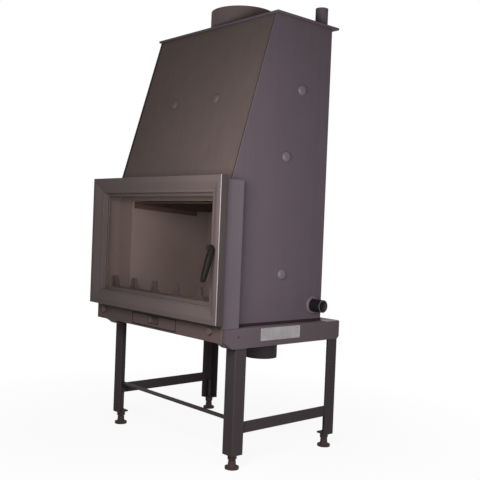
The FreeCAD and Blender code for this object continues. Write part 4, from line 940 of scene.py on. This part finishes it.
class INSERT_OT_tape(bpy.types.Operator):
    """Flat woven tape between the frame and the glass"""

    bl_idname = "insert.tape"
    bl_label = "Glass tape"

    def execute(self, context):
        middle = (TAPE_LOW + TAPE_HIGH) / 2
        size = TAPE_HIGH - TAPE_LOW
        turn = Matrix.Rotation(math.pi / 2, 4, "X")
        stretch = Matrix.Diagonal((size.x / 2, 1.0, size.z / 2, 1.0))
        place = Matrix.Translation((middle.x, TAPE_LOW.y, middle.z)) @ stretch @ turn
        bm = bmesh.new()
        bmesh.ops.create_grid(bm, x_segments=1, y_segments=1, size=1.0, matrix=place)
        inner = bm.faces[:]
        bmesh.ops.inset_region(
            bm, faces=inner, thickness=TAPE_WIDTH, use_boundary=True, use_even_offset=True
        )
        bmesh.ops.delete(bm, geom=inner, context="FACES")
        made = bmesh.ops.extrude_face_region(bm, geom=bm.faces[:])
        bmesh.ops.translate(bm, vec=(0, size.y, 0), verts=points_of(made))
        material = bpy.data.materials["seal_fibre"]
        tape = new_piece("woven_tape", bm, "door", material, smooth=False)
        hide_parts("glass_tape")
        return {"FINISHED"}


class INSERT_OT_grip(bpy.types.Operator):
    """Smooth turned grip of the door handle"""

    bl_idname = "insert.grip"
    bl_label = "Handle grip"

    def execute(self, context):
        tints = context.scene.insert_colours
        reach = GRIP_RUN.length
        profile = [(radius, share * reach + offset) for radius, share, offset in GRIP_CURVE]
        bm = bmesh.new()
        turned(bm, profile, aimed(GRIP_TOP, GRIP_RUN), GRIP_STEPS)
        material = gloss_black("grip_black", tints.black)
        grip = new_piece("handle_grip_smooth", bm, "handle", material)
        smooth = grip.modifiers.new("Round", "SUBSURF")
        smooth.levels = smooth.render_levels = 2
        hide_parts("handle_grip")
        return {"FINISHED"}


class INSERT_OT_plate(bpy.types.Operator):
    """Bare metal plate with four rivets on the right rail"""

    bl_idname = "insert.plate"
    bl_label = "Bare plate"

    def execute(self, context):
        sizes = context.scene.insert_sizes
        thick, long, tall = sizes.plate_thick, sizes.plate_length, sizes.plate_height
        middle = Vector((RAIL_HIGH.x + thick / 2, PLATE_Y, PLATE_Z))
        material = lined_metal("plate_metal", context.scene.insert_colours.plate)
        bm = bmesh.new()
        size = Matrix.Diagonal((thick, long, tall, 1.0))
        bmesh.ops.create_cube(bm, size=1.0, matrix=Matrix.Translation(middle) @ size)
        corners = [edge for edge in bm.edges if abs(edge.verts[0].co.x - edge.verts[1].co.x) > TOUCH]
        rounded(bm, corners, PLATE_CORNER, 4)
        front = [face for face in bm.faces if face.normal.x > 0.9]
        bmesh.ops.inset_region(bm, faces=front, thickness=PLATE_RIM, depth=0.0)
        bmesh.ops.inset_region(bm, faces=front, thickness=PLATE_STEP, depth=-PLATE_STEP)
        new_piece("rail_plate", bm, "insert", material, smooth=False)
        profile = dome(sizes.rivet, sizes.rivet, 0.0, RIVET_CURVE)
        along, up = long / 2 - RIVET_INSET, tall / 2 - RIVET_INSET
        rivets = bmesh.new()
        for y in (-along, along):
            for z in (-up, up):
                spot = middle + Vector((thick / 2 - RIVET_SINK, y, z))
                turned(rivets, profile, aimed(spot, (1, 0, 0)), RIVET_STEPS)
        new_piece("rail_plate_rivets", rivets, "insert", material)
        return {"FINISHED"}


class INSERT_OT_feet(bpy.types.Operator):
    """Chamfered lock nuts and flared necks of the levelling feet"""

    bl_idname = "insert.feet"
    bl_label = "Nuts and necks"

    def execute(self, context):
        sizes = context.scene.insert_sizes
        material = bpy.data.materials["foot_paint"]
        radius, height, bore = sizes.nut_radius, sizes.nut_height, sizes.thread_radius
        under, over = NUT_CHAMFER * height, (1.0 - NUT_CHAMFER) * height
        flat = NUT_FLAT * radius
        nut = [(bore, 0.0), (flat, 0.0), (radius, under), (radius, over), (flat, height), (bore, height)]
        nut.append(nut[0])
        neck = [(bore, NECK_LOW), *NECK_CURVE, (bore, NECK_HIGH), (bore, NECK_LOW)]
        nuts = bmesh.new()
        for corner in CORNERS:
            foot_low, foot_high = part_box("foot_" + corner)
            leg_low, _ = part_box("leg_" + corner)
            axis = (foot_low + foot_high) / 2
            turned(nuts, nut, Matrix.Translation((axis.x, axis.y, leg_low.z - height)), 6)
            bm = bmesh.new()
            turned(bm, neck, Matrix.Translation((axis.x, axis.y, foot_low.z)), NECK_STEPS)
            new_piece("neck_" + corner, bm, "foot_" + corner, material)
        made = new_piece("lock_nuts_cut", nuts, "insert", material, smooth=False)
        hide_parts("lock_nuts")
        return {"FINISHED"}


class INSERT_OT_guard(bpy.types.Operator):
    """Cast log guard: a bar with upright posts between rounded notches"""

    bl_idname = "insert.guard"
    bl_label = "Log guard"

    def execute(self, context):
        sizes = context.scene.insert_sizes
        low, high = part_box("log_guard")
        half = high.x - sizes.guard_end
        last = sizes.guard_posts - 1
        side = sizes.guard_post / 2
        notch = low.z + sizes.guard_band
        outline = []
        for post in range(last + 1):
            middle = -half + post * 2 * half / last
            left, right = middle - side, middle + side
            outline += [(left, notch if post else low.z), (left, high.z)]
            outline += [(right, high.z), (right, notch if post < last else low.z)]
        bm = bmesh.new()
        face = bm.faces.new([bm.verts.new((x, low.y, z)) for x, z in outline])
        drawn = bmesh.ops.extrude_face_region(bm, geom=[face])
        bmesh.ops.translate(bm, verts=points_of(drawn), vec=(0.0, high.y - low.y, 0.0))
        for level, radius, steps in ((notch, sizes.guard_corner, 6), (high.z, sizes.guard_tip, 3)):
            at_level = [edge for edge in bm.edges if all(abs(v.co.z - level) < TOUCH for v in edge.verts)]
            across = [edge for edge in at_level if abs(edge.verts[0].co.y - edge.verts[1].co.y) > TOUCH]
            rounded(bm, across, radius, steps)
        material = bpy.data.materials["cast_iron"]
        made = new_piece("log_guard_cast", bm, "insert", material, smooth=False)
        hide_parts("log_guard")
        return {"FINISHED"}


class INSERT_OT_threads(bpy.types.Operator):
    """Screw threads of the levelling feet"""

    bl_idname = "insert.threads"
    bl_label = "Foot threads"

    def execute(self, context):
        sizes = context.scene.insert_sizes
        pitch = sizes.thread_pitch
        section = ((THREAD_ROOT, 0.0), (sizes.thread_radius, 0.5 * pitch), (THREAD_ROOT, pitch))
        material = bpy.data.materials["stand_paint"]
        for corner in CORNERS:
            low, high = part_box("foot_" + corner)
            middle = (low + high) / 2
            start = low.z + THREAD_START
            turns = int((high.z - start) / pitch) - 1
            bm = bmesh.new()
            verts = [bm.verts.new((middle.x + out, middle.y, start + up)) for out, up in section]
            edges = [bm.edges.new(pair) for pair in zip(verts, verts[1:])]
            about = {"cent": (middle.x, middle.y, 0), "axis": (0, 0, 1), "dvec": (0, 0, pitch / THREAD_STEPS)}
            angle, steps = 2 * math.pi * turns, THREAD_STEPS * turns
            bmesh.ops.spin(bm, geom=verts + edges, **about, angle=angle, steps=steps)
            bmesh.ops.remove_doubles(bm, verts=bm.verts[:], dist=TOUCH)
            new_piece("thread_" + corner, bm, "foot_" + corner, material, smooth=False)
        return {"FINISHED"}


def seen_white(tree, plain, white):
    """White for rays that the eye sees, direct or in gloss and glass, and plain for all others."""
    ray = tree.nodes.new("ShaderNodeLightPath").outputs
    seen = maths(tree, "MAXIMUM", ray["Is Camera Ray"], ray["Is Glossy Ray"])
    return mixed(tree, maths(tree, "MAXIMUM", seen, ray["Is Transmission Ray"]), plain, white)


def pale_floor():
    """Floor that is seen almost white, keeps a soft shadow and throws little light back."""
    material, tree, shader, where = new_material("pale_floor")
    rough = scaled(tree, noise(tree, where, 3.0, 3.0), 0.1, 0.75)
    plug(tree, shader, {"Base Color": FLOOR_GREY, "Roughness": rough})
    white = add_node(tree, "ShaderNodeEmission", {"Color": WHITE, "Strength": 1.0})
    pale = add_node(tree, "ShaderNodeBsdfDiffuse", {"Color": FLOOR_PALE})
    away = vector_maths(tree, "LENGTH", where)
    fade = {"Value": away, "From Min": 0.5, "From Max": 1.5, "To Min": 0.92, "To Max": 1.0}
    share = add_node(tree, "ShaderNodeMapRange", fade).outputs["Result"]
    shown = mixed(tree, share, pale.outputs["BSDF"], white.outputs["Emission"])
    surface = seen_white(tree, shader.outputs["BSDF"], shown)
    plug(tree, tree.nodes["Material Output"], {"Surface": surface})
    return material


class INSERT_OT_stage(bpy.types.Operator):
    """Pale floor, white surroundings, soft lamps and the camera"""

    bl_idname = "insert.stage"
    bl_label = "Stage"

    def execute(self, context):
        scene = context.scene
        stage = scene.insert_stage
        scene.view_settings.view_transform = "Standard"
        bm = bmesh.new()
        bmesh.ops.create_grid(bm, x_segments=2, y_segments=2, size=stage.floor_half)
        floor = meshed("floor", bm, pale_floor())
        world = bpy.data.worlds.new("surroundings")
        scene.world = world
        world.use_nodes = True
        tree = world.node_tree
        sky = plug(tree, tree.nodes["Background"], {"Color": SKY_TINT, "Strength": stage.sky})
        white = add_node(tree, "ShaderNodeBackground", {"Color": WHITE, "Strength": 1.0})
        surface = seen_white(tree, sky.outputs["Background"], white.outputs["Background"])
        plug(tree, tree.nodes["World Output"], {"Surface": surface})
        for name, place, target, side, tint in LAMPS:
            light = bpy.data.lights.new(name, "AREA")
            light.size, light.energy, light.color = side, getattr(stage, name), tint
            lamp = linked(name, light)
            lamp.matrix_world = aimed(place, Vector(place) - Vector(target))
            lamp.visible_camera = False
        optics = bpy.data.cameras.new("camera")
        optics.lens = stage.lens
        optics.sensor_width = 36.0
        camera = linked("camera", optics)
        level = math.cos(stage.pitch)
        ahead = Vector((-math.sin(stage.yaw) * level, math.cos(stage.yaw) * level, math.sin(stage.pitch)))
        right = Vector((math.cos(stage.yaw), math.sin(stage.yaw), 0.0))
        place = Matrix((right, right.cross(ahead), -ahead)).transposed().to_4x4()
        place = place @ Matrix.Rotation(stage.roll, 4, "Z")
        place.translation = stage.eye
        camera.matrix_world = place
        scene.camera = camera
        return {"FINISHED"}


class INSERT_PT_panel(bpy.types.Panel):
    """Colours, sizes and the steps that dress the insert"""

    bl_idname = "INSERT_PT_panel"
    bl_label = "Fireplace insert"
    bl_space_type = "VIEW_3D"
    bl_region_type = "UI"
    bl_category = "Insert"

    def draw(self, context):
        scene = context.scene
        for group in (scene.insert_colours, scene.insert_sizes, scene.insert_stage):
            for name in group.bl_rna.properties.keys():
                if name not in ("rna_type", "name"):
                    self.layout.prop(group, name)
        for step in STEPS:
            self.layout.operator(step.bl_idname)


STEPS = (
    INSERT_OT_body_finish,
    INSERT_OT_stand_finish,
    INSERT_OT_door_finish,
    INSERT_OT_stay_heads,
    INSERT_OT_welds,
    INSERT_OT_rope,
    INSERT_OT_tape,
    INSERT_OT_grip,
    INSERT_OT_plate,
    INSERT_OT_feet,
    INSERT_OT_guard,
    INSERT_OT_threads,
    INSERT_OT_stage,
)
CLASSES = (InsertColours, InsertSizes, InsertStage, *STEPS, INSERT_PT_panel)


def register():
    for item in CLASSES:
        bpy.utils.register_class(item)
    bpy.types.Scene.insert_colours = PointerProperty(type=InsertColours)
    bpy.types.Scene.insert_sizes = PointerProperty(type=InsertSizes)
    bpy.types.Scene.insert_stage = PointerProperty(type=InsertStage)


def unregister():
    del bpy.types.Scene.insert_colours
    del bpy.types.Scene.insert_sizes
    del bpy.types.Scene.insert_stage
    for item in reversed(CLASSES):
        bpy.utils.unregister_class(item)


def main():
    register()
    bpy.ops.insert.body_finish()
    bpy.ops.insert.stand_finish()
    bpy.ops.insert.door_finish()
    bpy.ops.insert.stay_heads()
    bpy.ops.insert.welds()
    bpy.ops.insert.rope()
    bpy.ops.insert.tape()
    bpy.ops.insert.grip()
    bpy.ops.insert.plate()
    bpy.ops.insert.feet()
    bpy.ops.insert.guard()
    bpy.ops.insert.threads()
    bpy.ops.insert.stage()


if __name__ == "__main__":
    main()
